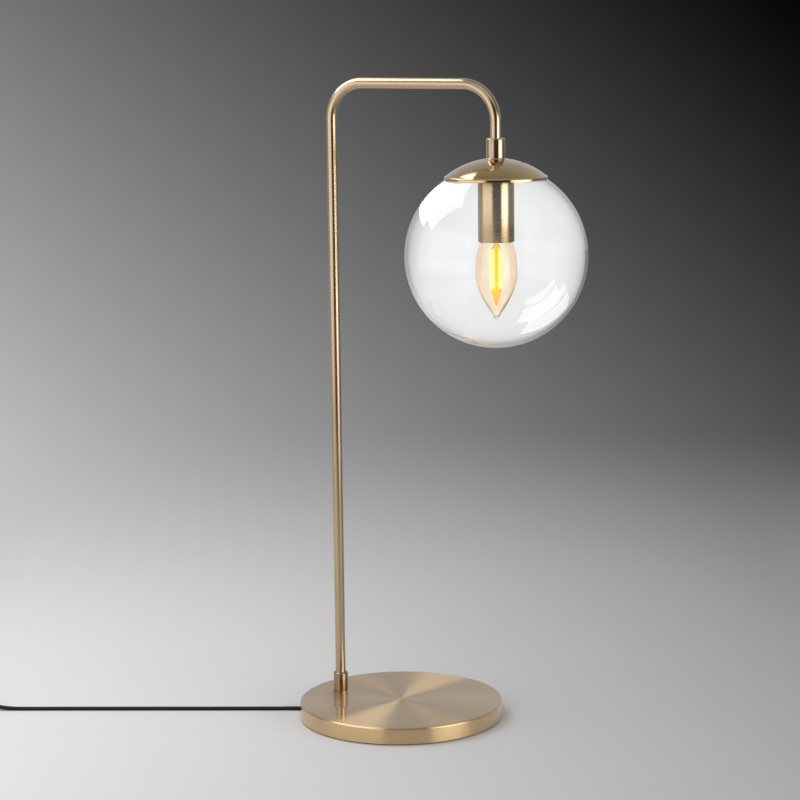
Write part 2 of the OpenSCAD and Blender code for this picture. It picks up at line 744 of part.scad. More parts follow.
module cord_run() color(black) cord_tube(run_route);
module cord_link() color(black) cord_tube(link_route);
module cord_tail() color(black) cord_tube(tail_route);

module cord_coil() color(black)
    translate([coil_x, coil_y, 0]) ring(coil_outer, coil_inner, coil_h);

// The tie goes over the coil, from its inner side to its outer side
module cord_tie() color(black) {
    inside = coil_inner - 2 * tie_gap;
    outside = coil_outer + tie_gap;
    translate([coil_x, coil_y, 0]) rotate([0, 0, tie_turn])
        difference() {
            translate([inside - tie_t, -tie_w / 2, 0])
                cube([outside - inside + 2 * tie_t, tie_w, coil_h + tie_t + fit]);
            translate([inside, -tie_w, -1]) cube([outside - inside, 2 * tie_w, coil_h + 1 + fit]);
        }
}

// The switch is laid along the cord
module at_switch() { translate([switch_x, switch_y, 0]) rotate([0, 0, cord_angle]) children(); }

module switch_bore() {
    translate([0, 0, cord_axis_z]) rotate([0, 90, 0])
        linear_extrude(switch_l + 2, center = true) cord_section(bore_gap);
}

module switch_base() color(black) at_switch()
    difference() {
        linear_extrude(split_z) rounded_rect(switch_l, switch_w, switch_round);
        translate([0, 0, switch_wall]) linear_extrude(switch_h)
            rounded_rect(switch_l - 2 * switch_end, switch_w - 2 * switch_wall, switch_round - switch_wall);
        switch_bore();
        for (s = [-1, 1]) translate([s * case_screw_x, s * case_screw_y, -1]) {
            cylinder(d = case_screw_d + 2 * fit, h = switch_h, $fn = 32);
            cylinder(d = 2 * case_screw_d + 2 * fit, h = 1 + case_screw_d, $fn = 32);
        }
    }

module switch_cover() color(black) at_switch()
    difference() {
        union() {
            difference() {
                translate([0, 0, split_z]) linear_extrude(switch_h - split_z)
                    rounded_rect(switch_l, switch_w, switch_round);
                translate([0, 0, split_z - 1]) linear_extrude(switch_h - split_z - switch_wall + 1)
                    rounded_rect(switch_l - 2 * switch_end, switch_w - 2 * switch_wall,
                        switch_round - switch_wall);
            }
            for (s = [-1, 1])
                translate([-ear_w / 2, (s * (window_w + ear_t) - ear_t) / 2, pivot_z - pivot_d])
                    cube([ear_w, ear_t, switch_h - pivot_z + pivot_d - fit]);
        }
        translate([-window_l / 2, -window_w / 2, 0]) cube([window_l, window_w, switch_h + 1]);
        translate([0, 0, pivot_z]) rotate([90, 0, 0])
            cylinder(d = pivot_d + 2 * fit, h = window_w + 2 * ear_t + 2, center = true, $fn = 32);
        switch_bore();
        for (s = [-1, 1]) translate([s * case_screw_x, s * case_screw_y, split_z - 1])
            cylinder(d = case_screw_d, h = switch_h - split_z - switch_wall, $fn = 32);
    }

// Two flats meet at the middle of the rocker, and it rests tipped to its on side
module switch_rocker() color([0.1, 0.1, 0.1]) at_switch()
    translate([0, 0, pivot_z]) rotate([0, rocker_angle / 2, 0]) {
        rotate([90, 0, 0]) linear_extrude(window_w - 2 * slip, center = true)
            polygon([[-rocker_l, 3.6], [-rocker_l, -1.5], [-3, -4], [3, -4],
                [rocker_l, -1.5], [rocker_l, 3.6], [0, 2.4]]);
        rotate([90, 0, 0]) cylinder(d = pivot_d, h = window_w + 2 * ear_t - slip, center = true, $fn = 32);
    }

module switch_contacts() color(brass) at_switch()
    for (s = [-1, 1]) {
        translate([s * contact_x - contact_w / 2, -contact_w / 2, switch_wall])
            cube([contact_w, contact_w, cord_axis_z - cord_t / 2 - bore_gap - switch_wall]);
        translate([s * contact_x - contact_w / 2, -contact_w / 2, switch_wall])
            cube([contact_w, 1, split_z]);
    }

module switch_screws() color(steel) at_switch()
    for (s = [-1, 1]) translate([s * case_screw_x, s * case_screw_y, case_screw_d / 4]) {
        cylinder(d = case_screw_d - 2 * fit, h = switch_h - 2 * case_screw_d, $fn = 32);
        cylinder(d = 2 * case_screw_d, h = 0.75 * case_screw_d, $fn = 32);
    }

// The plug lies flat with its pins pointing to +X
module at_plug() { translate([plug_x, plug_y, plug_z]) children(); }

module plug_relief() color(black) at_plug()
    rotate([0, 90, 0]) cylinder(d1 = 1.5 * cord_w, d2 = relief_d, h = relief_l);

module plug_outline() {
    polygon([[0, -7.5], [0, 7.5], [8, 9], [plug_l - 9, plug_w / 2], [plug_l, plug_w / 2],
        [plug_l, -plug_w / 2], [plug_l - 9, -plug_w / 2], [8, -9]]);
}
module plug_body() color(black) at_plug() translate([relief_l, 0, -plug_t / 2])
    difference() {
        linear_extrude(plug_t) plug_outline();
        for (s = [-1, 1]) translate([plug_l - pin_in, s * pin_gap / 2, plug_t / 2])
            rotate([0, 90, 0]) cylinder(d = pin_core_d + 2 * fit, h = pin_l, $fn = 48);
    }

module plug_pins() color(brass) at_plug() translate([relief_l + plug_l, 0, 0])
    for (s = [-1, 1]) translate([0, s * pin_gap / 2, 0]) rotate([0, 90, 0]) {
        translate([0, 0, -pin_in]) cylinder(d = pin_core_d, h = pin_in + 1, $fn = 48);
        cylinder(d = pin_d, h = pin_l - pin_tip, $fn = 48);
        translate([0, 0, pin_l - pin_tip]) cylinder(d1 = pin_d, d2 = pin_d * 0.6, h = pin_tip, $fn = 48);
    }

base_shell();
base_weight();
base_plate();
base_pad();
plate_screws();
cord_grommet();
cord_stop();
stem_nipple();
stem_washer();
stem_nut();
foot_collar();
stem_tube();
flex_in_base();
flex_in_stem();
cap_collar();
cap();
cap_nipple();
globe_spring();
cap_washer();
cap_nut();
globe();
sleeve();
holder_cap();
holder_body();
holder_insert();
holder_shell();
centre_contact();
terminal_screws();
holder_wires();
bulb_glass();
bulb_cap();
bulb_insulator();
bulb_contact();
bulb_driver();
bulb_stem();
filaments();
filament_leads();
cord_run();
switch_base();
switch_cover();
switch_rocker();
switch_contacts();
switch_screws();
cord_link();
cord_coil();
cord_tie();
cord_tail();
plug_relief();
plug_body();
plug_pins();
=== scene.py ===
# A bedside lamp: a spun brass base, one bent brass tube, and a clear glass globe that hangs
# from the end of the tube under a domed cap, round a candle bulb. Metres, in the CAD's frame.
import math

import bpy
from mathutils import Matrix, Vector


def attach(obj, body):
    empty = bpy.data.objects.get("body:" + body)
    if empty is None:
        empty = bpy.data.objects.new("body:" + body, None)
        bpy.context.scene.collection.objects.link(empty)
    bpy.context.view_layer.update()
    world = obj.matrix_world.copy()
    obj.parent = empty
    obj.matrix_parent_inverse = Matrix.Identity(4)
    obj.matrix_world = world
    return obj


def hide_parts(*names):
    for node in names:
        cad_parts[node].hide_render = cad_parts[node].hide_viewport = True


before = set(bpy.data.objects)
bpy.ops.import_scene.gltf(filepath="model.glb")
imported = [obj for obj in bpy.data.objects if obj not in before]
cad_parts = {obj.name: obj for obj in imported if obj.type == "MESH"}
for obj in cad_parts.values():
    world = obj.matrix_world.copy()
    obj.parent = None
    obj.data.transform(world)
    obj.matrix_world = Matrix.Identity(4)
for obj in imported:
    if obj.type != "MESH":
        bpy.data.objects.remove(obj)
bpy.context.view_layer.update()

# ---------------------------------------------------------------------------------------
# The table and the room: a table top under soft boxes, its colour painted pale at the left
# and darker grey to the right as painted shade. Far from the lamp the camera sees one grey
# backdrop, pale at the lower left and dark at the upper right, and what is seen through the glass is white.
bpy.context.scene.view_settings.view_transform = "Standard"
MM = 0.001
CAMERA_AWAY = 2.01
CAMERA_HEIGHT = 0.6074
CAMERA_AZIMUTH = math.radians(31.2)
CAMERA_ELEVATION = math.radians(9.367)
CAMERA_ROLL = math.radians(0.692)
ROOM_WHITE = 0.94
DARKEST_TONE = 0.05
LOW_TONE, LOW_DEPTH = 0.49, 1.83
LEFT_TONE, HALF_VIEW = 0.42, 0.17
TONE_POWER = 2.2
to_right = Vector((math.cos(CAMERA_AZIMUTH), math.sin(CAMERA_AZIMUTH), 0))
to_camera = Vector((math.sin(CAMERA_AZIMUTH), -math.cos(CAMERA_AZIMUTH), 0))
up = Vector((0, 0, 1))


def new_finish(name):
    """A node material with its main shader, ready for more nodes."""
    finish = bpy.data.materials.new(name)
    finish.use_nodes = True
    return finish, finish.node_tree.nodes["Principled BSDF"]


def add(finish, kind, sockets=None, **settings):
    """A node with its settings, and with values or links on its sockets."""
    tree = finish.node_tree
    new = tree.nodes.new("ShaderNode" + kind)
    for key, value in settings.items():
        setattr(new, key, value)
    for key, value in (sockets or {}).items():
        if isinstance(value, bpy.types.NodeSocket):
            tree.links.new(value, new.inputs[key])
        else:
            new.inputs[key].default_value = value
    return new


def shader(finish, main, **sockets):
    """Values or links on the main shader, by the names of its sockets with _ for spaces."""
    for key, value in sockets.items():
        socket = main.inputs[key.replace("_", " ")]
        if isinstance(value, bpy.types.NodeSocket):
            finish.node_tree.links.new(value, socket)
        else:
            socket.default_value = value


def maths(finish, operation, *values, clamp=False):
    """The result of one operation on numbers or links."""
    return add(finish, "Math", dict(enumerate(values)), operation=operation, use_clamp=clamp).outputs[0]


def part_along(finish, vector, axis):
    """How far a vector goes along an axis of length 1."""
    return add(finish, "VectorMath", {0: vector, 1: axis}, operation="DOT_PRODUCT").outputs["Value"]


def backdrop(finish, low, across):
    """How bright the backdrop is, by how low and how far to the right the camera looks."""
    left = add(finish, "MapRange", {"Value": across, "From Min": -HALF_VIEW, "From Max": HALF_VIEW,
                                    "To Min": LEFT_TONE, "To Max": 0.0}).outputs["Result"]
    tone = maths(finish, "ADD", maths(finish, "MULTIPLY_ADD", low, LOW_TONE, DARKEST_TONE), left)
    return maths(finish, "POWER", tone, TONE_POWER)


table_paint, main = new_finish("table_paint")
place = add(table_paint, "TexCoord").outputs["Object"]
sideways, forward = part_along(table_paint, place, to_right), part_along(table_paint, place, to_camera)
away = add(table_paint, "VectorMath", {0: place}, operation="LENGTH").outputs["Value"]
cloud = add(table_paint, "TexNoise", {"Vector": place, "Scale": 3.0, "Detail": 4.0})
mottle = add(table_paint, "MapRange", {"Value": cloud.outputs["Fac"], "To Min": -0.015, "To Max": 0.015})
# The table's colour is painted from pale at the left to mid grey at the right: painted shade.
painted_side_shade = add(table_paint, "MapRange", {"Value": sideways, "From Min": -0.4, "From Max": 0.4,
                                       "To Min": 0.92, "To Max": 0.40})
paint = maths(table_paint, "ADD", mottle.outputs["Result"], painted_side_shade.outputs["Result"])
shader(table_paint, main, Base_Color=paint, Roughness=0.7)
depth = maths(table_paint, "MAXIMUM", maths(table_paint, "SUBTRACT", CAMERA_AWAY, forward),
              maths(table_paint, "ADD", away, 1.0))
low = maths(table_paint, "DIVIDE", LOW_DEPTH, depth, clamp=True)
far_tone = backdrop(table_paint, low, maths(table_paint, "DIVIDE", sideways, depth))
ray = add(table_paint, "LightPath")
behind = add(table_paint, "MapRange", {"Value": forward, "From Min": -0.6, "From Max": -1.4})
seen_through = maths(table_paint, "MULTIPLY", ray.outputs["Is Transmission Ray"], behind.outputs["Result"])
surface = main.outputs[0]
for seen, start, end, level in ((ray.outputs["Is Camera Ray"], 0.45, 1.5, far_tone),
                                (seen_through, 0.6, 1.4, ROOM_WHITE)):
    fade = add(table_paint, "MapRange", {"Value": away, "From Min": start, "From Max": end},
               interpolation_type="SMOOTHSTEP")
    amount = maths(table_paint, "MULTIPLY", seen, fade.outputs["Result"])
    glow = add(table_paint, "Emission", {"Color": (1, 1, 1, 1), "Strength": level})
    surface = add(table_paint, "MixShader", {0: amount, 1: surface, 2: glow.outputs[0]}).outputs[0]
table_paint.node_tree.links.new(surface, table_paint.node_tree.nodes["Material Output"].inputs["Surface"])

bpy.ops.object.select_all(action="DESELECT")
bpy.ops.mesh.primitive_circle_add(vertices=96, radius=400, fill_type="NGON")
table = bpy.context.object
table.name = "table"
table.data.materials.append(table_paint)

room = bpy.data.worlds.new("room")
room.use_nodes = True
bpy.context.scene.world = room
direction = add(room, "TexCoord").outputs["Generated"]
facing = part_along(room, direction, to_camera)
overhead = part_along(room, direction, (to_camera + up).normalized())
walls = add(room, "MapRange", {"Value": facing, "From Min": -0.9, "From Max": 0.3,
                               "To Min": 0.48, "To Max": 0.16})
ceiling = add(room, "MapRange", {"Value": overhead, "From Min": 0.55, "From Max": 0.9,
                                 "To Min": 0.0, "To Max": 0.55}, interpolation_type="SMOOTHSTEP")
level = maths(room, "ADD", walls.outputs["Result"], ceiling.outputs["Result"])
downward = maths(room, "MULTIPLY", part_along(room, direction, up), -LOW_DEPTH / CAMERA_HEIGHT, clamp=True)
ray = add(room, "LightPath")
behind = add(room, "MapRange", {"Value": facing, "From Min": 0.0, "From Max": -0.4})
seen_through = maths(room, "MULTIPLY", ray.outputs["Is Transmission Ray"], behind.outputs["Result"])
far_tone = backdrop(room, downward, part_along(room, direction, to_right))
for seen, strength in ((ray.outputs["Is Camera Ray"], far_tone), (seen_through, ROOM_WHITE)):
    level = add(room, "Mix", {0: seen, 2: level, 3: strength}).outputs[0]
sky = room.node_tree.nodes["Background"]
sky.inputs["Color"].default_value = (1, 1, 1, 1)
room.node_tree.links.new(level, sky.inputs["Strength"])


def studio(right, toward, height):
    """A point or direction from what is right of the lamp, toward the camera, and up."""
    return to_right * right + to_camera * toward + up * height


def soft_box(name, middle, aim, wide, tall, brightness, along=None, fading=0.0):
    """A rectangular lamp as bright as a white of that strength, whose sides may fade out."""
    light = bpy.data.lights.new(name, "AREA")
    light.shape = "RECTANGLE"
    light.size = wide
    light.size_y = tall
    light.energy = brightness * math.pi * wide * tall
    if fading:
        light.use_nodes = True
        spot = add(light, "SeparateXYZ", {0: add(light, "NewGeometry").outputs["Parametric"]})
        strength = 1.0
        for part in (spot.outputs["X"], spot.outputs["Y"]):
            for start, end in ((0.0, fading), (1.0, 1.0 - fading)):
                edge = add(light, "MapRange", {"Value": part, "From Min": start, "From Max": end},
                           interpolation_type="SMOOTHSTEP")
                strength = maths(light, "MULTIPLY", edge.outputs["Result"], strength)
        light.node_tree.links.new(strength, light.node_tree.nodes["Emission"].inputs["Strength"])
    lamp = bpy.data.objects.new(name, light)
    bpy.context.scene.collection.objects.link(lamp)
    back = (middle - aim).normalized()
    side = along or up.cross(back)
    side = (side - back * side.dot(back)).normalized()
    turned = Matrix((side, back.cross(side), back)).transposed().to_4x4()
    lamp.matrix_world = Matrix.Translation(middle) @ turned
    lamp.visible_camera = False
    return lamp


def around(degrees_right, distance, height):
    """A point at that angle right of the camera, seen from the lamp."""
    turn = math.radians(degrees_right)
    return studio(math.sin(turn) * distance, math.cos(turn) * distance, height)


# The key box shows as the window at the globe's upper left, the wall lights the left side of
# the brass and the window its right side, and a dark flag shades the front of the glass.
globe_middle = Vector((0.096, 0, 0.402))
soft_box("key_box", globe_middle + studio(-0.496, -0.229, 0.527), globe_middle, 0.54, 0.53, 3.6,
         along=studio(-0.616, -0.388, -0.686))
soft_box("left_wall", around(-58, 1.1, 0.56), around(0, 0, 0.56), 1.98, 1.2, 1.15, fading=0.25)
window = soft_box("right_window", around(56, 1.2, 0.36), around(0, 0, 0.36), 1.5, 1.1, 4.2, fading=0.45)

bpy.ops.object.select_all(action="DESELECT")
bpy.ops.mesh.primitive_plane_add(size=1)
flag = bpy.context.object
flag.name = "front_flag"
flag_back = around(15, 1, 0)
flag.data.transform(Matrix.Translation(around(5.3, 0.95, 0.56))
                    @ Matrix((up.cross(flag_back) * 0.9, up * 1.1, flag_back)).transposed().to_4x4())
flag_cloth, main = new_finish("flag_cloth")
shader(flag_cloth, main, Base_Color=(0.05, 0.05, 0.05, 1), Roughness=1.0)
flag.data.materials.append(flag_cloth)
flag.visible_camera = flag.visible_diffuse = flag.visible_shadow = False

camera_data = bpy.data.cameras.new("camera")
camera_data.sensor_width = 36
camera_data.lens = 108.48
camera_data.clip_end = 1000
camera = bpy.data.objects.new("camera", camera_data)
bpy.context.scene.collection.objects.link(camera)
ahead = -to_camera * math.cos(CAMERA_ELEVATION) - up * math.sin(CAMERA_ELEVATION)
level_up = to_right.cross(ahead)
camera_right = to_right * math.cos(CAMERA_ROLL) - level_up * math.sin(CAMERA_ROLL)
camera_up = level_up * math.cos(CAMERA_ROLL) + to_right * math.sin(CAMERA_ROLL)
camera.matrix_world = (Matrix.Translation((1.0430, -1.7181, CAMERA_HEIGHT))
                       @ Matrix((camera_right, camera_up, -ahead)).transposed().to_4x4())
bpy.context.scene.camera = camera

# ---------------------------------------------------------------------------------------
# The base shell is spun from sheet brass, brushed in circles on the lathe and lacquered.
# It has a hole for the tube's threaded end and a notch at the back edge for the cord.
BASE_R = 87.0
BASE_LOW, BASE_TOP = 1.0, 14.8
BASE_EDGE = 1.6
SHELL_WALL = 1.5
STEM_X = -61.5
NIPPLE_D = 9.9
NOTCH = (-83.0, -27.5)
CORD_ANGLE = math.radians(209)
SHARP_EDGE = math.radians(32)
BRASS_DARK = (0.58, 0.395, 0.205, 1)
BRASS_LIGHT = (0.72, 0.51, 0.29, 1)


def brass(name, x, gloss, lines=2500.0, turned=0.9, side_gloss=None, dark=BRASS_DARK, light=BRASS_LIGHT):
    """Lacquered brass, brushed in fine lines round the upright axis at x, with a faint cloud."""
    finish, main = new_finish(name)
    place = add(finish, "TexCoord").outputs["Object"]
    moved = add(finish, "Mapping", {"Vector": place, "Location": (-x * MM, 0, 0)})
    flat = add(finish, "VectorMath", {0: moved.outputs[0], 1: (1, 1, 0)}, operation="MULTIPLY")
    radius = add(finish, "VectorMath", {0: flat.outputs[0]}, operation="LENGTH")
    height = add(finish, "SeparateXYZ", {0: moved.outputs[0]})
    across = maths(finish, "ADD", radius.outputs["Value"], height.outputs["Z"])
    line = add(finish, "TexNoise", {"W": across, "Scale": lines, "Detail": 3.0}, noise_dimensions="1D")
    cloud = add(finish, "TexNoise", {"Vector": place, "Scale": 18.0, "Detail": 5.0, "Roughness": 0.6})
    both = maths(finish, "MULTIPLY_ADD", line.outputs["Fac"], 0.5, cloud.outputs["Fac"])
    tone = add(finish, "MapRange", {"Value": both, "From Min": 0.35, "From Max": 1.15})
    colour = add(finish, "Mix", {0: tone.outputs["Result"], 6: dark, 7: light}, data_type="RGBA")
    outward = add(finish, "SeparateXYZ", {0: add(finish, "NewGeometry").outputs["True Normal"]})
    flatness = maths(finish, "ABSOLUTE", outward.outputs["Z"])
    level = add(finish, "Mix", {0: flatness, 2: side_gloss or gloss, 3: gloss})
    uneven = add(finish, "MapRange", {"Value": line.outputs["Fac"], "From Min": 0.3, "From Max": 0.7,
                                      "To Min": 0.9, "To Max": 1.1})
    rough = maths(finish, "MULTIPLY", level.outputs[0], uneven.outputs["Result"])
    bump = add(finish, "Bump", {"Height": line.outputs["Fac"], "Strength": 0.05, "Distance": 0.00002})
    round_axis = add(finish, "Tangent", direction_type="RADIAL", axis="Z")
    shader(finish, main, Base_Color=colour.outputs[2], Metallic=1.0, Roughness=rough,
           Normal=bump.outputs[0], Coat_Weight=1.0, Coat_Roughness=0.03, Coat_IOR=1.7,
           Anisotropic=turned, Anisotropic_Rotation=0.25, Tangent=round_axis.outputs[0])
    return finish


def fit(piece, name, body, slot, finish, *nodes):
    """Names a finished piece, gives it its finish, and puts it in the place of its CAD nodes."""
    piece.name = piece.data.name = name
    piece.data.materials.clear()
    piece.data.materials.append(finish)
    if nodes:
        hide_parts(*nodes)
    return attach(piece, body)


def start_point(x, y, z):
    """One vertex in edit mode, from a plane that is merged to its middle."""
    bpy.ops.object.select_all(action="DESELECT")
    bpy.ops.mesh.primitive_plane_add(size=0.001)
    bpy.ops.object.mode_set(mode="EDIT")
    bpy.ops.mesh.select_all(action="SELECT")
    bpy.ops.mesh.merge(type="CENTER")
    bpy.ops.transform.translate(value=(x * MM, y * MM, z * MM))


def smooth(piece, bevel=0.0):
    """Breaks the sharp edges by a bevel in mm, and shades the rest smooth."""
    if bevel:
        broken = piece.modifiers.new("broken_edges", "BEVEL")
        broken.width = bevel * MM
        broken.segments = 2
        broken.limit_method = "ANGLE"
        broken.angle_limit = SHARP_EDGE
        bpy.ops.object.modifier_apply(modifier=broken.name)
    bpy.ops.object.shade_smooth_by_angle(angle=SHARP_EDGE)


def turn(outline, x, steps=128, bevel=0.0):
    """Turns an outline of (radius, height) in mm round the upright axis at x."""
    start_point(x + outline[0][0], 0, outline[0][1])
    for (r0, z0), (r1, z1) in zip(outline, outline[1:]):
        bpy.ops.mesh.extrude_vertices_move(
            TRANSFORM_OT_translate={"value": ((r1 - r0) * MM, 0, (z1 - z0) * MM)})
    bpy.ops.mesh.select_all(action="SELECT")
    bpy.ops.mesh.spin(steps=steps, angle=2 * math.pi, center=(x * MM, 0, 0), axis=(0, 0, 1))
    bpy.ops.mesh.select_all(action="SELECT")
    bpy.ops.mesh.remove_doubles(threshold=0.000001)
    bpy.ops.mesh.normals_make_consistent(inside=False)
    bpy.ops.object.mode_set(mode="OBJECT")
    piece = bpy.context.object
    smooth(piece, bevel)
    return piece


def arc(r, z, radius, first, last, steps):
    """Points of an arc round (r, z), from one angle to another in degrees."""
    angles = [math.radians(first + (last - first) * i / steps) for i in range(steps + 1)]
    return [(r + radius * math.cos(a), z + radius * math.sin(a)) for a in angles]


def cut(piece, cutter):
    """Cuts one shape out of a piece, and takes the cutter away."""
    bpy.ops.object.select_all(action="DESELECT")
    bpy.context.view_layer.objects.active = piece
    piece.select_set(True)
    taken = piece.modifiers.new("taken_out", "BOOLEAN")
    taken.operation = "DIFFERENCE"
    taken.solver = "EXACT"
    taken.object = cutter
    bpy.ops.object.modifier_apply(modifier=taken.name)
    bpy.data.objects.remove(cutter)


def round_cutter(d, x, y, z0, z1):
    """An upright round bar to cut with, in mm."""
    bpy.ops.object.select_all(action="DESELECT")
    bpy.ops.mesh.primitive_cylinder_add(vertices=48, radius=d / 2 * MM, depth=(z1 - z0) * MM)
    bar = bpy.context.object
    bar.data.transform(Matrix.Translation((x * MM, y * MM, (z0 + z1) / 2 * MM)))
    return bar


def box_cutter(size, middle, turn_angle=0.0):
    """A block to cut with, in mm, turned about the upright axis."""
    bpy.ops.object.select_all(action="DESELECT")
    bpy.ops.mesh.primitive_cube_add(size=1)
    block = bpy.context.object
    block.data.transform(Matrix.Translation(Vector(middle) * MM) @ Matrix.Rotation(turn_angle, 4, "Z")
                         @ Matrix.Diagonal((*(Vector(size) * MM), 1)))
    return block


shell_outline = ([(0, BASE_TOP - SHELL_WALL), (BASE_R - SHELL_WALL, BASE_TOP - SHELL_WALL),
                  (BASE_R - SHELL_WALL, BASE_LOW), (BASE_R - 0.2, BASE_LOW), (BASE_R, BASE_LOW + 0.2)]
                 + arc(BASE_R - BASE_EDGE, BASE_TOP - BASE_EDGE, BASE_EDGE, 0, 90, 10)
                 + [(BASE_R * i / 12, BASE_TOP) for i in range(11, -1, -1)])
shell = turn(shell_outline, 0, steps=192)
cut(shell, round_cutter(NIPPLE_D, STEM_X, 0, 8, 20))
cut(shell, box_cutter((24, 8, 8), (NOTCH[0] + 2, NOTCH[1] + 1, 0.4), CORD_ANGLE))
smooth(shell)
spun_brass = brass("spun_brass", 0, 0.32, turned=1.0, side_gloss=0.24, dark=(0.60, 0.395, 0.185, 1),
                   light=(0.76, 0.535, 0.27, 1))
fit(shell, "base_shell_spun", "stand", "antique_brass", spun_brass, "base_shell")

# ---------------------------------------------------------------------------------------
# Inside the base: a cast iron weight, a steel plate on three screws, and a soft foam pad
# that is glued under it. The pad's edge shows as a thin dark line.


def grained(name, dark, light, rough, metallic=0.0, scale=400.0, relief=0.1, depth=0.00005, detail=5.0,
            **more):
    """A plain finish whose tone, gloss and surface vary with a fine grain."""
    finish, main = new_finish(name)
    place = add(finish, "TexCoord").outputs["Object"]
    grain = add(finish, "TexNoise", {"Vector": place, "Scale": scale, "Detail": detail, "Roughness": 0.6})
    colour = add(finish, "Mix", {0: grain.outputs["Fac"], 6: (*dark, 1), 7: (*light, 1)}, data_type="RGBA")
    gloss = add(finish, "MapRange", {"Value": grain.outputs["Fac"], "From Min": 0.3, "From Max": 0.7,
                                     "To Min": rough * 0.85, "To Max": rough * 1.15})
    bump = add(finish, "Bump", {"Height": grain.outputs["Fac"], "Strength": relief, "Distance": depth})
    shader(finish, main, Base_Color=colour.outputs[2], Metallic=metallic, Roughness=gloss.outputs["Result"],
           Normal=bump.outputs[0], **more)
    return finish


def dress(finish, *nodes):
    """Gives CAD nodes that stay as they are a better finish."""
    for name in nodes:
        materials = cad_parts[name].data.materials
        materials.clear()
        materials.append(finish)


cast_iron = grained("cast_iron", (0.03, 0.03, 0.032), (0.09, 0.09, 0.095), 0.62, 0.6, 900.0, 0.7, 0.0002)
bright_steel = grained("bright_steel", (0.46, 0.46, 0.47), (0.62, 0.62, 0.63), 0.3, 1.0, 500.0, 0.1)
foam = grained("pad_foam", (0.012, 0.012, 0.012), (0.03, 0.03, 0.03), 0.95, 0.0, 1800.0, 0.8, 0.0002)
dress(cast_iron, "base_weight")
dress(bright_steel, "base_plate", "plate_screws", "stem_nipple", "stem_washer", "stem_nut",
      "cap_nipple", "cap_washer", "cap_nut", "terminal_screws", "switch_screws")
dress(foam, "base_pad")

# ---------------------------------------------------------------------------------------
# The lower collar is turned from brass bar, and screws down on the threaded tube that
# stands up through the base. The bent tube is soldered into it.
TUBE_D = 8.8
COLLAR_H = 16


def collar_outline(d, z, h):
    """A collar's section, with a bevel at its free end and a fine turned groove near it."""
    r = d / 2
    bore = TUBE_D / 2 + 0.05
    thread = NIPPLE_D / 2
    return [(thread, z), (r - 0.15, z), (r, z + 0.15), (r, z + h - 0.7), (r - 0.22, z + h - 0.36),
            (r - 0.7, z + h), (bore, z + h), (bore, z + h / 2), (thread, z + h / 2), (thread, z)]


# The collar's brass is painted much darker than the base's, as painted shade.
shaded_turned_brass = brass("shaded_turned_brass", STEM_X, 0.22, dark=(0.26, 0.17, 0.075, 1),
                     light=(0.37, 0.245, 0.13, 1))
foot_collar = turn(collar_outline(12.5, BASE_TOP, COLLAR_H), STEM_X, steps=64, bevel=0.08)
fit(foot_collar, "foot_collar_turned", "stand", "antique_brass", shaded_turned_brass, "foot_collar")

# ---------------------------------------------------------------------------------------
# The upright, the arm and the drop are one drawn brass tube, bent twice by a quarter turn.
ARM_Z = 541.5
ARM_REACH = 157.5
BEND_R = 30.0
DROP_X = STEM_X + ARM_REACH
CAP_TOP = 482.0
TUBE_LOW, TUBE_END = BASE_TOP + COLLAR_H / 2, CAP_TOP + COLLAR_H / 2

bpy.ops.object.select_all(action="DESELECT")
bpy.ops.mesh.primitive_circle_add(vertices=48, radius=TUBE_D / 2 * MM)
tube = bpy.context.object
bpy.ops.object.mode_set(mode="EDIT")
bpy.ops.mesh.select_all(action="SELECT")
bpy.ops.transform.translate(value=(STEM_X * MM, 0, TUBE_LOW * MM))
quarter = {"steps": 28, "angle": math.pi / 2, "axis": (0, -1, 0)}
bpy.ops.mesh.extrude_region_move(
    TRANSFORM_OT_translate={"value": (0, 0, (ARM_Z - BEND_R - TUBE_LOW) * MM)})
bpy.ops.mesh.spin(center=((STEM_X + BEND_R) * MM, 0, (ARM_Z - BEND_R) * MM), **quarter)
bpy.ops.mesh.extrude_region_move(
    TRANSFORM_OT_translate={"value": ((ARM_REACH - 2 * BEND_R) * MM, 0, 0)})
bpy.ops.mesh.spin(center=((DROP_X - BEND_R) * MM, 0, (ARM_Z - BEND_R) * MM), **quarter)
bpy.ops.mesh.extrude_region_move(
    TRANSFORM_OT_translate={"value": (0, 0, (TUBE_END - ARM_Z + BEND_R) * MM)})
bpy.ops.mesh.select_all(action="SELECT")
bpy.ops.mesh.remove_doubles(threshold=0.000001)
bpy.ops.mesh.normals_make_consistent(inside=False)
bpy.ops.object.mode_set(mode="OBJECT")
wall = tube.modifiers.new("wall", "SOLIDIFY")
wall.thickness = 0.7 * MM
wall.offset = -1
bpy.ops.object.modifier_apply(modifier=wall.name)
smooth(tube)
drawn_brass = grained("drawn_brass", (0.41, 0.28, 0.145), (0.53, 0.375, 0.21), 0.25, metallic=1.0,
                      scale=14.0, relief=0.0, detail=1.0,
                      Coat_Weight=1.0, Coat_Roughness=0.12, Coat_IOR=1.8)
fit(tube, "stem_tube_drawn", "stand", "antique_brass", drawn_brass, "stem_tube")

# ---------------------------------------------------------------------------------------
# The cap collar holds the spun cap on a short threaded tube, with a washer and a nut under
# it. Four vents let the bulb's heat out, and a rolled band stiffens the rim.
CAP_R = 42.1
RIM_Z = 464.6
RIM_H = 3.0
DOME_R = (41.4 ** 2 + 14.8 ** 2) / (2 * 14.8)
DOME_Z = CAP_TOP - DOME_R
GLOBE_R = 75.0
SEAT_GAP = 0.3
RIM_ROLL = 1.1
RIM_IN = 39.5
GLOBE_Z = RIM_Z - math.sqrt((GLOBE_R + SEAT_GAP) ** 2 - CAP_R ** 2)
VENT_R = 21.5
VENT_D = 3.4
VENT_TURN = 24.0

cap_collar = turn(collar_outline(15.5, CAP_TOP, COLLAR_H), DROP_X, steps=64, bevel=0.08)
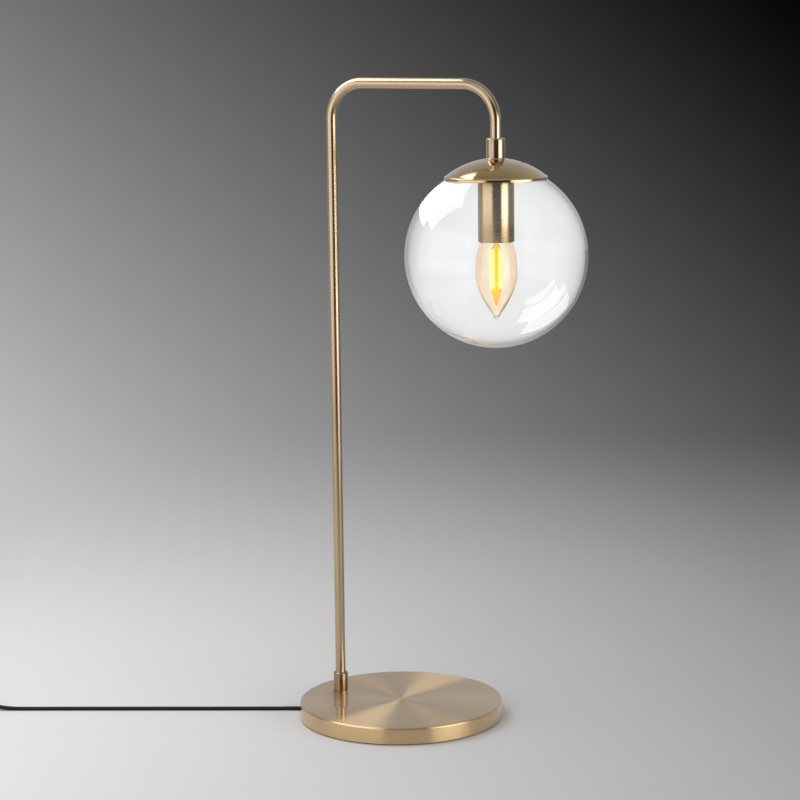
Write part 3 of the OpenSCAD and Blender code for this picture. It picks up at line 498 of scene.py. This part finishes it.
# The cap collar's brass is painted darker than the cap's, as painted shade.
shaded_collar_brass = brass("shaded_collar_brass", DROP_X, 0.22, dark=(0.34, 0.24, 0.13, 1), light=(0.46, 0.335, 0.20, 1))
fit(cap_collar, "cap_collar_turned", "stand", "antique_brass", shaded_collar_brass, "cap_collar")


def dome(r, radius):
    """The height of the dome at that distance from its axis."""
    return DOME_Z + math.sqrt(radius ** 2 - r ** 2)


def seat(r):
    """The height of the face that the glass comes up against."""
    return GLOBE_Z + math.sqrt((GLOBE_R + SEAT_GAP) ** 2 - r ** 2)


def evenly(first, last, steps):
    """Even steps from one value to another."""
    return [first + (last - first) * i / steps for i in range(steps + 1)]


FLAT_OUT, DOME_OUT = 7.9, 40.75
FLAT_IN = 11
CAP_WALL = 1
cap_outline = ([(NIPPLE_D / 2, CAP_TOP), (FLAT_OUT - 0.4, CAP_TOP), (FLAT_OUT - 0.15, CAP_TOP - 0.2)]
               + [(r, dome(r, DOME_R)) for r in evenly(FLAT_OUT, DOME_OUT, 30)]
               + arc(CAP_R - RIM_ROLL, RIM_Z + RIM_H - RIM_ROLL, RIM_ROLL, 90, 0, 6)
               + [(CAP_R, RIM_Z + 0.4), (CAP_R - 0.2, RIM_Z + 0.2)]
               + [(r, seat(r)) for r in (41.8, 41.0, 40.3, 39.7)]
               + [(RIM_IN, seat(RIM_IN) + 0.25)]
               + [(r, dome(r, DOME_R - CAP_WALL)) for r in evenly(RIM_IN, FLAT_IN, 24)]
               + [(NIPPLE_D / 2, dome(FLAT_IN, DOME_R - CAP_WALL)), (NIPPLE_D / 2, CAP_TOP)])
cap = turn(cap_outline, DROP_X, steps=160)
for i in range(4):
    vent = math.radians(VENT_TURN + 90 * i)
    cut(cap, round_cutter(VENT_D, DROP_X + VENT_R * math.cos(vent), VENT_R * math.sin(vent), 468, 490))
smooth(cap)
cap_brass = brass("cap_brass", DROP_X, 0.13, turned=0.5, dark=(0.46, 0.295, 0.12, 1),
                  light=(0.68, 0.455, 0.205, 1))
fit(cap, "cap_spun", "stand", "antique_brass", cap_brass, "cap")
# Its inside and the walls of the vents are rougher, and their near-black brown colour is painted shade in
# the hollow under the dome.
shaded_inside_brass = grained("shaded_inside_brass", (0.07, 0.045, 0.022), (0.12, 0.08, 0.04), 0.6, 0.8, 600.0, 0.2)
cap.data.materials.append(shaded_inside_brass)
for face in cap.data.polygons:
    middle = face.center / MM
    from_axis = math.hypot(middle.x - DROP_X, middle.y)
    if 8 < from_axis < RIM_IN and math.hypot(from_axis, middle.z - DOME_Z) < DOME_R - 0.2:
        face.material_index = 1

# ---------------------------------------------------------------------------------------
# The globe is blown from clear glass, with a ground and fire polished hole at the top.
# A spring with three hooks holds it by that edge, so it pulls down for a new bulb.
GLASS_WALL = 2.0
HOLE_R = 30.0


def straight_through(finish, rays, surface, tint):
    """A surface that those rays pass without bending, as they pass thin clear glass."""
    clear = add(finish, "BsdfTransparent", {"Color": tint})
    return add(finish, "MixShader", {0: rays, 1: surface, 2: clear.outputs[0]}).outputs[0]


def let_lamps_through(finish, surface, tint):
    """Lets the light of the lamps through the glass, and makes that its surface."""
    shadow = add(finish, "LightPath").outputs["Is Shadow Ray"]
    whole = straight_through(finish, shadow, surface, tint)
    finish.node_tree.links.new(whole, finish.node_tree.nodes["Material Output"].inputs["Surface"])


# Rays that the brass inside the globe has mirrored also go straight through it, so the
# window on the right still shows in the sleeve. The globe itself doesn't mirror that window.
GLOBE_TINT = (0.96, 0.97, 0.97, 1)
clear_glass, main = new_finish("clear_glass")
place = add(clear_glass, "TexCoord").outputs["Object"]
wave = add(clear_glass, "TexNoise", {"Vector": place, "Scale": 16.0, "Detail": 1.0})
colour = add(clear_glass, "Mix", {0: wave.outputs["Fac"], 6: (0.978, 0.986, 0.984, 1),
                                  7: (0.995, 0.998, 0.996, 1)}, data_type="RGBA")
shader(clear_glass, main, Base_Color=colour.outputs[2], Transmission_Weight=1.0, Roughness=0.0, IOR=1.46)
ray = add(clear_glass, "LightPath")
mirrored = maths(clear_glass, "SUBTRACT", ray.outputs["Is Glossy Ray"], ray.outputs["Is Transmission Ray"],
                 clamp=True)
inside = straight_through(clear_glass, mirrored, main.outputs[0], GLOBE_TINT)
let_lamps_through(clear_glass, inside, GLOBE_TINT)

inner_r = GLOBE_R - GLASS_WALL
top_angle = math.degrees(math.acos(HOLE_R / GLOBE_R))
lip_angle = math.degrees(math.acos(HOLE_R / inner_r))
globe_outline = (arc(0, GLOBE_Z, GLOBE_R, -90, top_angle - 0.4, 90)
                 + [(HOLE_R - 0.25, GLOBE_Z + math.sqrt(GLOBE_R ** 2 - HOLE_R ** 2) - 0.5),
                    (HOLE_R - 0.3, GLOBE_Z + math.sqrt((GLOBE_R - GLASS_WALL / 2) ** 2 - HOLE_R ** 2)),
                    (HOLE_R - 0.25, GLOBE_Z + math.sqrt(inner_r ** 2 - HOLE_R ** 2) + 0.4)]
                 + arc(0, GLOBE_Z, inner_r, lip_angle - 0.4, -90, 90))
globe_outline[0] = (0, GLOBE_Z - GLOBE_R)
globe_outline[-1] = (0, GLOBE_Z - inner_r)
globe = turn(globe_outline, DROP_X, steps=160)
fit(globe, "globe_blown", "globe", "clear_glass", clear_glass, "globe")
no_window = bpy.data.collections.new("kept_from_the_window")
no_window.objects.link(globe)
window.light_linking.receiver_collection = no_window
no_window.collection_objects[0].light_linking.link_state = "EXCLUDE"
spring_steel = grained("spring_steel", (0.42, 0.42, 0.43), (0.55, 0.55, 0.56), 0.25, 1.0, 300.0, 0.1)
dress(spring_steel, "globe_spring")

# ---------------------------------------------------------------------------------------
# The sleeve is a thin brass can that hides the lampholder. It hangs from the same threaded
# tube, and its lower edge is rolled in.
SLEEVE_R = 14.8
SLEEVE_TOP = 475.15
SLEEVE_LOW = SLEEVE_TOP - 61
SLEEVE_WALL = 0.8
SLEEVE_DISC = 1

sleeve_bore = SLEEVE_R - SLEEVE_WALL
sleeve_outline = [
    (NIPPLE_D / 2, SLEEVE_TOP), (SLEEVE_R - 1.2, SLEEVE_TOP), (SLEEVE_R - 0.35, SLEEVE_TOP - 0.35),
    (SLEEVE_R, SLEEVE_TOP - 1.2), (SLEEVE_R, SLEEVE_LOW + 0.3), (SLEEVE_R - 0.15, SLEEVE_LOW),
    (sleeve_bore + 0.15, SLEEVE_LOW), (sleeve_bore, SLEEVE_LOW + 0.3),
    (sleeve_bore, SLEEVE_TOP - SLEEVE_DISC), (NIPPLE_D / 2, SLEEVE_TOP - SLEEVE_DISC),
    (NIPPLE_D / 2, SLEEVE_TOP)]
sleeve = turn(sleeve_outline, DROP_X, steps=128)
sleeve_brass = brass("sleeve_brass", DROP_X, 0.26, lines=1500.0)
fit(sleeve, "sleeve_drawn", "stand", "antique_brass", sleeve_brass, "sleeve")

# ---------------------------------------------------------------------------------------
# The lampholder is moulded from heat proof plastic, with a brass screw shell and a contact
# leaf. Two cores of the flex go down to its terminals.
white_plastic = grained("white_plastic", (0.66, 0.65, 0.62), (0.74, 0.73, 0.70), 0.38, 0.0, 700.0, 0.1)
contact_brass = grained("contact_brass", (0.55, 0.40, 0.17), (0.68, 0.52, 0.26), 0.3, 1.0, 500.0, 0.1)
core_plastic = grained("core_plastic", (0.10, 0.045, 0.02), (0.16, 0.075, 0.035), 0.45, 0.0, 900.0, 0.1)
dress(white_plastic, "holder_cap", "holder_body", "holder_insert")
dress(contact_brass, "holder_shell", "centre_contact", "switch_contacts")
dress(core_plastic, "holder_wires")

# ---------------------------------------------------------------------------------------
# The bulb is a candle of amber glass with four upright filaments round a glass post, on a
# plated cap with a small thread.
HOLDER_H, NECK_GAP = 46, 2.4
NECK_Z = SLEEVE_TOP - SLEEVE_DISC - HOLDER_H - NECK_GAP
BULB_R = 17.0
BULB_TIP = NECK_Z - 75.8
WIDE_Z = BULB_TIP + 37
CROWN_Z = SLEEVE_LOW - 6.5
FILAMENT_LOW = CROWN_Z - 32
APEX_Z = FILAMENT_LOW - 14
CROWN_R = 5.2
LEAD_TURN = 76


def bow(p, steps):
    """A smooth curve from four control points."""
    out = []
    for i in range(steps + 1):
        t = i / steps
        u = 1 - t
        shares = (u ** 3, 3 * u * u * t, 3 * u * t * t, t ** 3)
        out.append(tuple(sum(point[k] * share for point, share in zip(p, shares)) for k in (0, 1)))
    return out


def candle(r, neck, tip, top):
    """The outline of the candle, from its neck down to its tip."""
    return (bow([(neck, top), (neck + 2.2, top - 9), (r, WIDE_Z + 22), (r, WIDE_Z)], 22)
            + bow([(r, WIDE_Z), (r, WIDE_Z - 15), (4.2, tip + 6.2), (1.6, tip + 0.9)], 26)[1:]
            + [(1.0, tip + 0.3), (0, tip)])


bulb_outline = (candle(BULB_R, 9.4, BULB_TIP, NECK_Z)[::-1]
                + candle(BULB_R - 0.8, 7.0, BULB_TIP + 2.4, NECK_Z))
bulb_glass = turn(bulb_outline, DROP_X, steps=96)
amber_glass, main = new_finish("amber_glass")
place = add(amber_glass, "TexCoord").outputs["Object"]
film = add(amber_glass, "TexNoise", {"Vector": place, "Scale": 60.0, "Detail": 2.0})
edge = add(amber_glass, "LayerWeight", {"Blend": 0.35}).outputs["Facing"]
uneven = maths(amber_glass, "MULTIPLY_ADD", film.outputs["Fac"], 0.2, -0.1)
deep = maths(amber_glass, "ADD", edge, uneven, clamp=True)
colour = add(amber_glass, "Mix", {0: deep, 6: (1.0, 0.97, 0.90, 1), 7: (1.0, 0.66, 0.38, 1)},
             data_type="RGBA")
# The amber glass also glows faintly: a painted glow that lightens its tone.
shader(amber_glass, main, Base_Color=colour.outputs[2], Transmission_Weight=1.0, Roughness=0.0, IOR=1.45,
       Emission_Color=(1.0, 0.64, 0.30, 1), Emission_Strength=0.035)
let_lamps_through(amber_glass, main.outputs[0], (0.98, 0.84, 0.68, 1))
fit(bulb_glass, "bulb_glass_blown", "bulb", "amber_glass", amber_glass, "bulb_glass")

post_outline = [(0, NECK_Z), (7.0, NECK_Z), (6.2, NECK_Z - 2.5), (4.6, NECK_Z - 5), (3.1, NECK_Z - 7),
                (2.4, NECK_Z - 9), (1.6, CROWN_Z + 2), (1.3, FILAMENT_LOW + 1), (3.0, FILAMENT_LOW - 0.4),
                (4.3, FILAMENT_LOW - 1), (4.6, FILAMENT_LOW - 2), (4.1, FILAMENT_LOW - 3.6), (0.8, APEX_Z),
                (0, APEX_Z - 0.4)]
bulb_post = turn(post_outline, DROP_X, steps=48)
post_glass, main = new_finish("post_glass")
place = add(post_glass, "TexCoord").outputs["Object"]
streak = add(post_glass, "TexNoise", {"Vector": place, "Scale": 180.0, "Detail": 2.0})
height = add(post_glass, "SeparateXYZ", {0: place}).outputs["Z"]
lit = add(post_glass, "MapRange", {"Value": height, "From Min": (FILAMENT_LOW - 6) * MM,
                                   "From Max": FILAMENT_LOW * MM})
amber = add(post_glass, "Mix", {0: streak.outputs["Fac"], 6: (0.85, 0.36, 0.02, 1),
                                7: (1.0, 0.62, 0.16, 1)}, data_type="RGBA")
colour = add(post_glass, "Mix", {0: lit.outputs["Result"], 6: amber.outputs[2], 7: (0.88, 0.60, 0.01, 1)},
             data_type="RGBA")
# Above the filaments' low ends the post is painted a lit yellow, and the whole post glows a little: both
# painted light.
shader(post_glass, main, Base_Color=colour.outputs[2], Transmission_Weight=0.5, Roughness=0.12, IOR=1.3,
       Emission_Color=colour.outputs[2], Emission_Strength=0.4)
let_lamps_through(post_glass, main.outputs[0], (1.0, 0.8, 0.5, 1))
fit(bulb_post, "bulb_post", "bulb", "amber_glass", post_glass, "bulb_stem")

phosphor, main = new_finish("phosphor")
place = add(phosphor, "TexCoord").outputs["Object"]
chips = add(phosphor, "TexWave", {"Vector": place, "Scale": 260.0, "Distortion": 0.6}, bands_direction="Z")
# The face of each rod that turns toward the viewer is painted a paler cream, a painted highlight; its edges
# are a deeper yellow.
facing = add(phosphor, "LayerWeight", {"Blend": 0.5}).outputs["Facing"]
across = add(phosphor, "Mix", {0: facing, 6: (1.0, 0.95, 0.38, 1), 7: (1.0, 0.72, 0.0, 1)},
             data_type="RGBA")
between = maths(phosphor, "MULTIPLY", chips.outputs["Fac"], 0.25)
colour = add(phosphor, "Mix", {0: between, 6: across.outputs[2], 7: (1.0, 0.82, 0.02, 1)}, data_type="RGBA")
# The rods also glow a little, as painted light that makes up for the dark inside the amber glass.
shader(phosphor, main, Base_Color=colour.outputs[2], Roughness=0.45, Emission_Color=colour.outputs[2],
       Emission_Strength=0.9)
rod_half = [(0, 0), (0.5, 0), (0.9, 0.5), (1.3, 0.9)]
rod_outline = ([(r, FILAMENT_LOW + h) for r, h in rod_half]
               + [(r, CROWN_Z - h) for r, h in rod_half[::-1]])
rods = []
for i in range(4):
    around_post = math.radians(LEAD_TURN + 90 * i)
    rod = turn(rod_outline, 0, steps=24)
    rod.data.transform(Matrix.Translation((DROP_X * MM + CROWN_R * MM * math.cos(around_post),
                                           CROWN_R * MM * math.sin(around_post), 0)))
    rods.append(rod)
bpy.ops.object.select_all(action="DESELECT")
for rod in rods:
    rod.select_set(True)
filaments = rods[0]
bpy.context.view_layer.objects.active = filaments
bpy.ops.object.join()
fit(filaments, "filament_rods", "bulb", "phosphor", phosphor, "filaments")
nickel = grained("nickel", (0.52, 0.50, 0.47), (0.66, 0.64, 0.60), 0.22, 1.0, 400.0, 0.1)
board = grained("board", (0.03, 0.12, 0.06), (0.05, 0.18, 0.09), 0.5, 0.0, 800.0, 0.2)
dress(nickel, "filament_leads", "bulb_cap", "bulb_contact")
dress(board, "bulb_driver")

# ---------------------------------------------------------------------------------------
# The cord is flat twin flex in black plastic. It leaves the base through a rubber grommet
# and runs straight along the table to the switch.
black_flex = grained("black_flex", (0.003, 0.003, 0.003), (0.007, 0.007, 0.007), 0.5, 0.0, 700.0, 0.15,
                     Specular_IOR_Level=0.25)
black_rubber = grained("black_rubber", (0.012, 0.012, 0.012), (0.028, 0.028, 0.028), 0.7, 0.0, 900.0, 0.3)
dress(black_flex, "flex_in_base", "flex_in_stem")
dress(black_rubber, "cord_grommet", "cord_stop", "bulb_insulator")
CORD_T = 2.6


def along(rows, step=2.5):
    """A smooth line of [x, y, z, turn] rows in mm through the points of a route."""
    out = []
    for i in range(len(rows) - 1):
        p0, p1, p2 = rows[max(i - 1, 0)], rows[i], rows[i + 1]
        p3 = rows[min(i + 2, len(rows) - 1)]
        gap = math.dist(p1[:3], p2[:3])
        before, after = max(math.dist(p0[:3], p1[:3]), 1e-6), max(math.dist(p2[:3], p3[:3]), 1e-6)
        count = max(1, round(gap / step))
        for k in range(count):
            t = k / count
            row = []
            for c in range(4):
                m1 = (p2[c] - p0[c]) * gap / (gap + before) if i else p2[c] - p1[c]
                m2 = (p3[c] - p1[c]) * gap / (gap + after) if i < len(rows) - 2 else p2[c] - p1[c]
                row.append((2 * t ** 3 - 3 * t ** 2 + 1) * p1[c] + (t ** 3 - 2 * t ** 2 + t) * m1
                           + (3 * t ** 2 - 2 * t ** 3) * p2[c] + (t ** 3 - t ** 2) * m2)
            out.append(row)
    return out + [list(rows[-1])]


def twin_section(steps=9):
    """Two round cores side by side, joined by a web."""
    out = []
    for side in (1, -1):
        for i in range(steps):
            a = math.radians(-148 + 296 * i / (steps - 1))
            out.append((side * (CORD_T / 2 + CORD_T / 2 * math.cos(a)), side * CORD_T / 2 * math.sin(a)))
    return out


def twin_cord(name, rows):
    """A closed mesh that follows the rows, with its flat side turned as they say."""
    section = twin_section()
    count = len(section)
    points, faces = [], []
    for i, row in enumerate(rows):
        t = (Vector(rows[min(i + 1, len(rows) - 1)][:3]) - Vector(rows[max(i - 1, 0)][:3])).normalized()
        s = up.cross(t).normalized()
        n = t.cross(s)
        a = math.radians(row[3])
        wide, thick = s * math.cos(a) + n * math.sin(a), n * math.cos(a) - s * math.sin(a)
        points += [(Vector(row[:3]) + wide * p + thick * q) * MM for p, q in section]
    for i in range(len(rows) - 1):
        here, there = i * count, (i + 1) * count
        faces += [(here + k, here + (k + 1) % count, there + (k + 1) % count, there + k)
                  for k in range(count)]
    last = (len(rows) - 1) * count
    faces += [tuple(range(count))[::-1], tuple(range(last, last + count))]
    mesh = bpy.data.meshes.new(name)
    mesh.from_pydata(points, [], faces)
    piece = bpy.data.objects.new(name, mesh)
    bpy.context.scene.collection.objects.link(piece)
    bpy.ops.object.select_all(action="DESELECT")
    piece.select_set(True)
    bpy.context.view_layer.objects.active = piece
    bpy.ops.object.mode_set(mode="EDIT")
    bpy.ops.mesh.select_all(action="SELECT")
    bpy.ops.mesh.normals_make_consistent(inside=False)
    bpy.ops.object.mode_set(mode="OBJECT")
    bpy.ops.object.shade_smooth_by_angle(angle=math.radians(50))
    return piece


run_rows = along([
    [-83, -27.5, 1.6, 0], [-92, -32.5, 1.5, 0], [-102, -38, 1.35, 0], [-125, -50.8, 1.35, 0],
    [-150, -64.7, 1.35, 0], [-175, -78.5, 1.35, 0], [-200, -92.3, 1.35, 0], [-225, -106.2, 1.35, 0],
    [-250, -120, 1.35, 0], [-275, -133.9, 1.35, 0], [-300, -147.7, 1.35, 0], [-308, -152.2, 1.7, 0],
    [-316, -156.6, 2.9, 0], [-323, -160.5, 4.9, 0], [-329, -163.8, 6.6, 0], [-334, -166.6, 7.2, 0],
    [-341.9, -171, 7.2, 0]])
cord_run = twin_cord("cord_to_switch", run_rows)
fit(cord_run, "cord_to_switch", "stand", "black_flex", black_flex, "cord_run")

# ---------------------------------------------------------------------------------------
# The switch sits on the cord: two moulded halves held by two screws, and a rocker between
# two ears.
SWITCH = Matrix.Translation(Vector((-360.3, -181.2, 0)) * MM) @ Matrix.Rotation(CORD_ANGLE, 4, "Z")
black_plastic = grained("black_plastic", (0.012, 0.012, 0.012), (0.024, 0.024, 0.025), 0.36, 0.0, 1500.0,
                        0.25)
rocker_plastic = grained("rocker_plastic", (0.02, 0.02, 0.02), (0.035, 0.035, 0.036), 0.25, 0.0, 900.0, 0.1)


def moulded_block(l, w, z0, z1, corner, edge, top=True):
    """A block with round corners and one softened face, as it comes out of a mould."""
    bpy.ops.object.select_all(action="DESELECT")
    bpy.ops.mesh.primitive_cube_add(size=1)
    block = bpy.context.object
    block.data.transform(Matrix.Translation((0, 0, (z0 + z1) / 2 * MM))
                         @ Matrix.Diagonal((l * MM, w * MM, (z1 - z0) * MM, 1)))
    bpy.ops.object.mode_set(mode="EDIT")
    bpy.ops.mesh.select_mode(type="EDGE")
    bpy.ops.mesh.select_all(action="DESELECT")
    bpy.ops.object.mode_set(mode="OBJECT")
    for e in block.data.edges:
        a, b = (block.data.vertices[v].co for v in e.vertices)
        e.select = abs(a.z - b.z) > 0.001
    bpy.ops.object.mode_set(mode="EDIT")
    bpy.ops.mesh.bevel(offset=corner * MM, segments=10)
    bpy.ops.mesh.select_all(action="DESELECT")
    bpy.ops.object.mode_set(mode="OBJECT")
    level = (z1 if top else z0) * MM
    for e in block.data.edges:
        a, b = (block.data.vertices[v].co for v in e.vertices)
        e.select = abs(a.z - level) < 0.00001 and abs(b.z - level) < 0.00001
    bpy.ops.object.mode_set(mode="EDIT")
    bpy.ops.mesh.bevel(offset=edge * MM, segments=5)
    bpy.ops.object.mode_set(mode="OBJECT")
    return block


switch_base = moulded_block(60, 26, 0, 8, 8, 1.2, top=False)
cut(switch_base, box_cutter((46, 22.8, 12), (0, 0, 7.6)))
cut(switch_base, box_cutter((70, 5.5, 2.9), (0, 0, 7.2)))
switch_base.data.transform(SWITCH)
smooth(switch_base)
fit(switch_base, "switch_base_moulded", "stand", "black_plastic", black_plastic, "switch_base")
switch_cover = moulded_block(60, 26, 8.15, 17, 8, 2.6)
cut(switch_cover, box_cutter((20, 12, 30), (0, 0, 15)))
cut(switch_cover, box_cutter((46, 22.8, 7), (0, 0, 11.9)))
cut(switch_cover, box_cutter((70, 5.5, 2.9), (0, 0, 7.2)))
switch_cover.data.transform(SWITCH)
smooth(switch_cover)
fit(switch_cover, "switch_cover_moulded", "stand", "black_plastic", black_plastic, "switch_cover")
dress(rocker_plastic, "switch_rocker")

# ---------------------------------------------------------------------------------------
# Past the switch the rest of the cord is wound into a coil of two layers, on edge, under a
# tie, and its end goes to the plug.
COIL = (-407.3, -246.5)
LINK_IN = [
    [-378.7, -191.4, 7.2, 0], [-386.6, -195.8, 7.2, 0], [-392, -198.8, 6.5, 8], [-399, -202.7, 4.8, 25],
    [-407, -207.1, 3.4, 50], [-415, -211.5, 2.8, 75], [-424, -216.4, 2.65, 90]]
TAIL_OUT = [
    [-407.3, -279.3, 8.1, 90], [-397, -279.3, 8.1, 90], [-389, -279.3, 7.6, 80], [-380, -279.3, 5.6, 50],
    [-371, -279.3, 3.2, 18], [-363, -279.3, 1.8, 0], [-355, -279.3, 1.9, 0], [-347, -279.3, 3.9, 0],
    [-340, -279.3, 6, 0], [-335, -279.3, 6.85, 0], [-331, -279.3, 6.85, 0]]
FIRST_ANGLE, TURNS_LOW, TURNS_HIGH, RISE = 119.0, 4.0, 3.419, 0.2
LOW_Z, HIGH_Z = 2.65, 8.1
COIL_IN, INWARD, OUTWARD = 23.2, 2.8, 9.6
TURN_STEPS = 48
coil_rows = []
coil_count = round((TURNS_LOW + TURNS_HIGH) * TURN_STEPS)
for i in range(1, coil_count):
    done = (TURNS_LOW + TURNS_HIGH) * i / coil_count
    angle = math.radians(FIRST_ANGLE + 360 * done)
    if done <= TURNS_LOW:
        r, z = COIL_IN + INWARD * (TURNS_LOW - done), LOW_Z
    elif done <= TURNS_LOW + RISE:
        part = (done - TURNS_LOW) / RISE
        r, z = COIL_IN, LOW_Z + (HIGH_Z - LOW_Z) * (3 * part ** 2 - 2 * part ** 3)
    else:
        r, z = COIL_IN + OUTWARD * (done - TURNS_LOW - RISE) / (TURNS_HIGH - RISE), HIGH_Z
    coil_rows.append([COIL[0] + r * math.cos(angle), COIL[1] + r * math.sin(angle), z, 90])
stored_rows = along(LINK_IN) + coil_rows + along(TAIL_OUT)
stored = twin_cord("cord_stored", stored_rows)
fit(stored, "cord_stored", "stand", "black_flex", black_flex, "cord_link", "cord_coil", "cord_tail")
dress(black_rubber, "cord_tie")

# ---------------------------------------------------------------------------------------
# The plug is moulded on the cord's end in one flat shape with two round pins, and a
# tapered sleeve guards the cord where it goes in.
dress(black_flex, "plug_relief", "plug_body")
dress(contact_brass, "plug_pins")
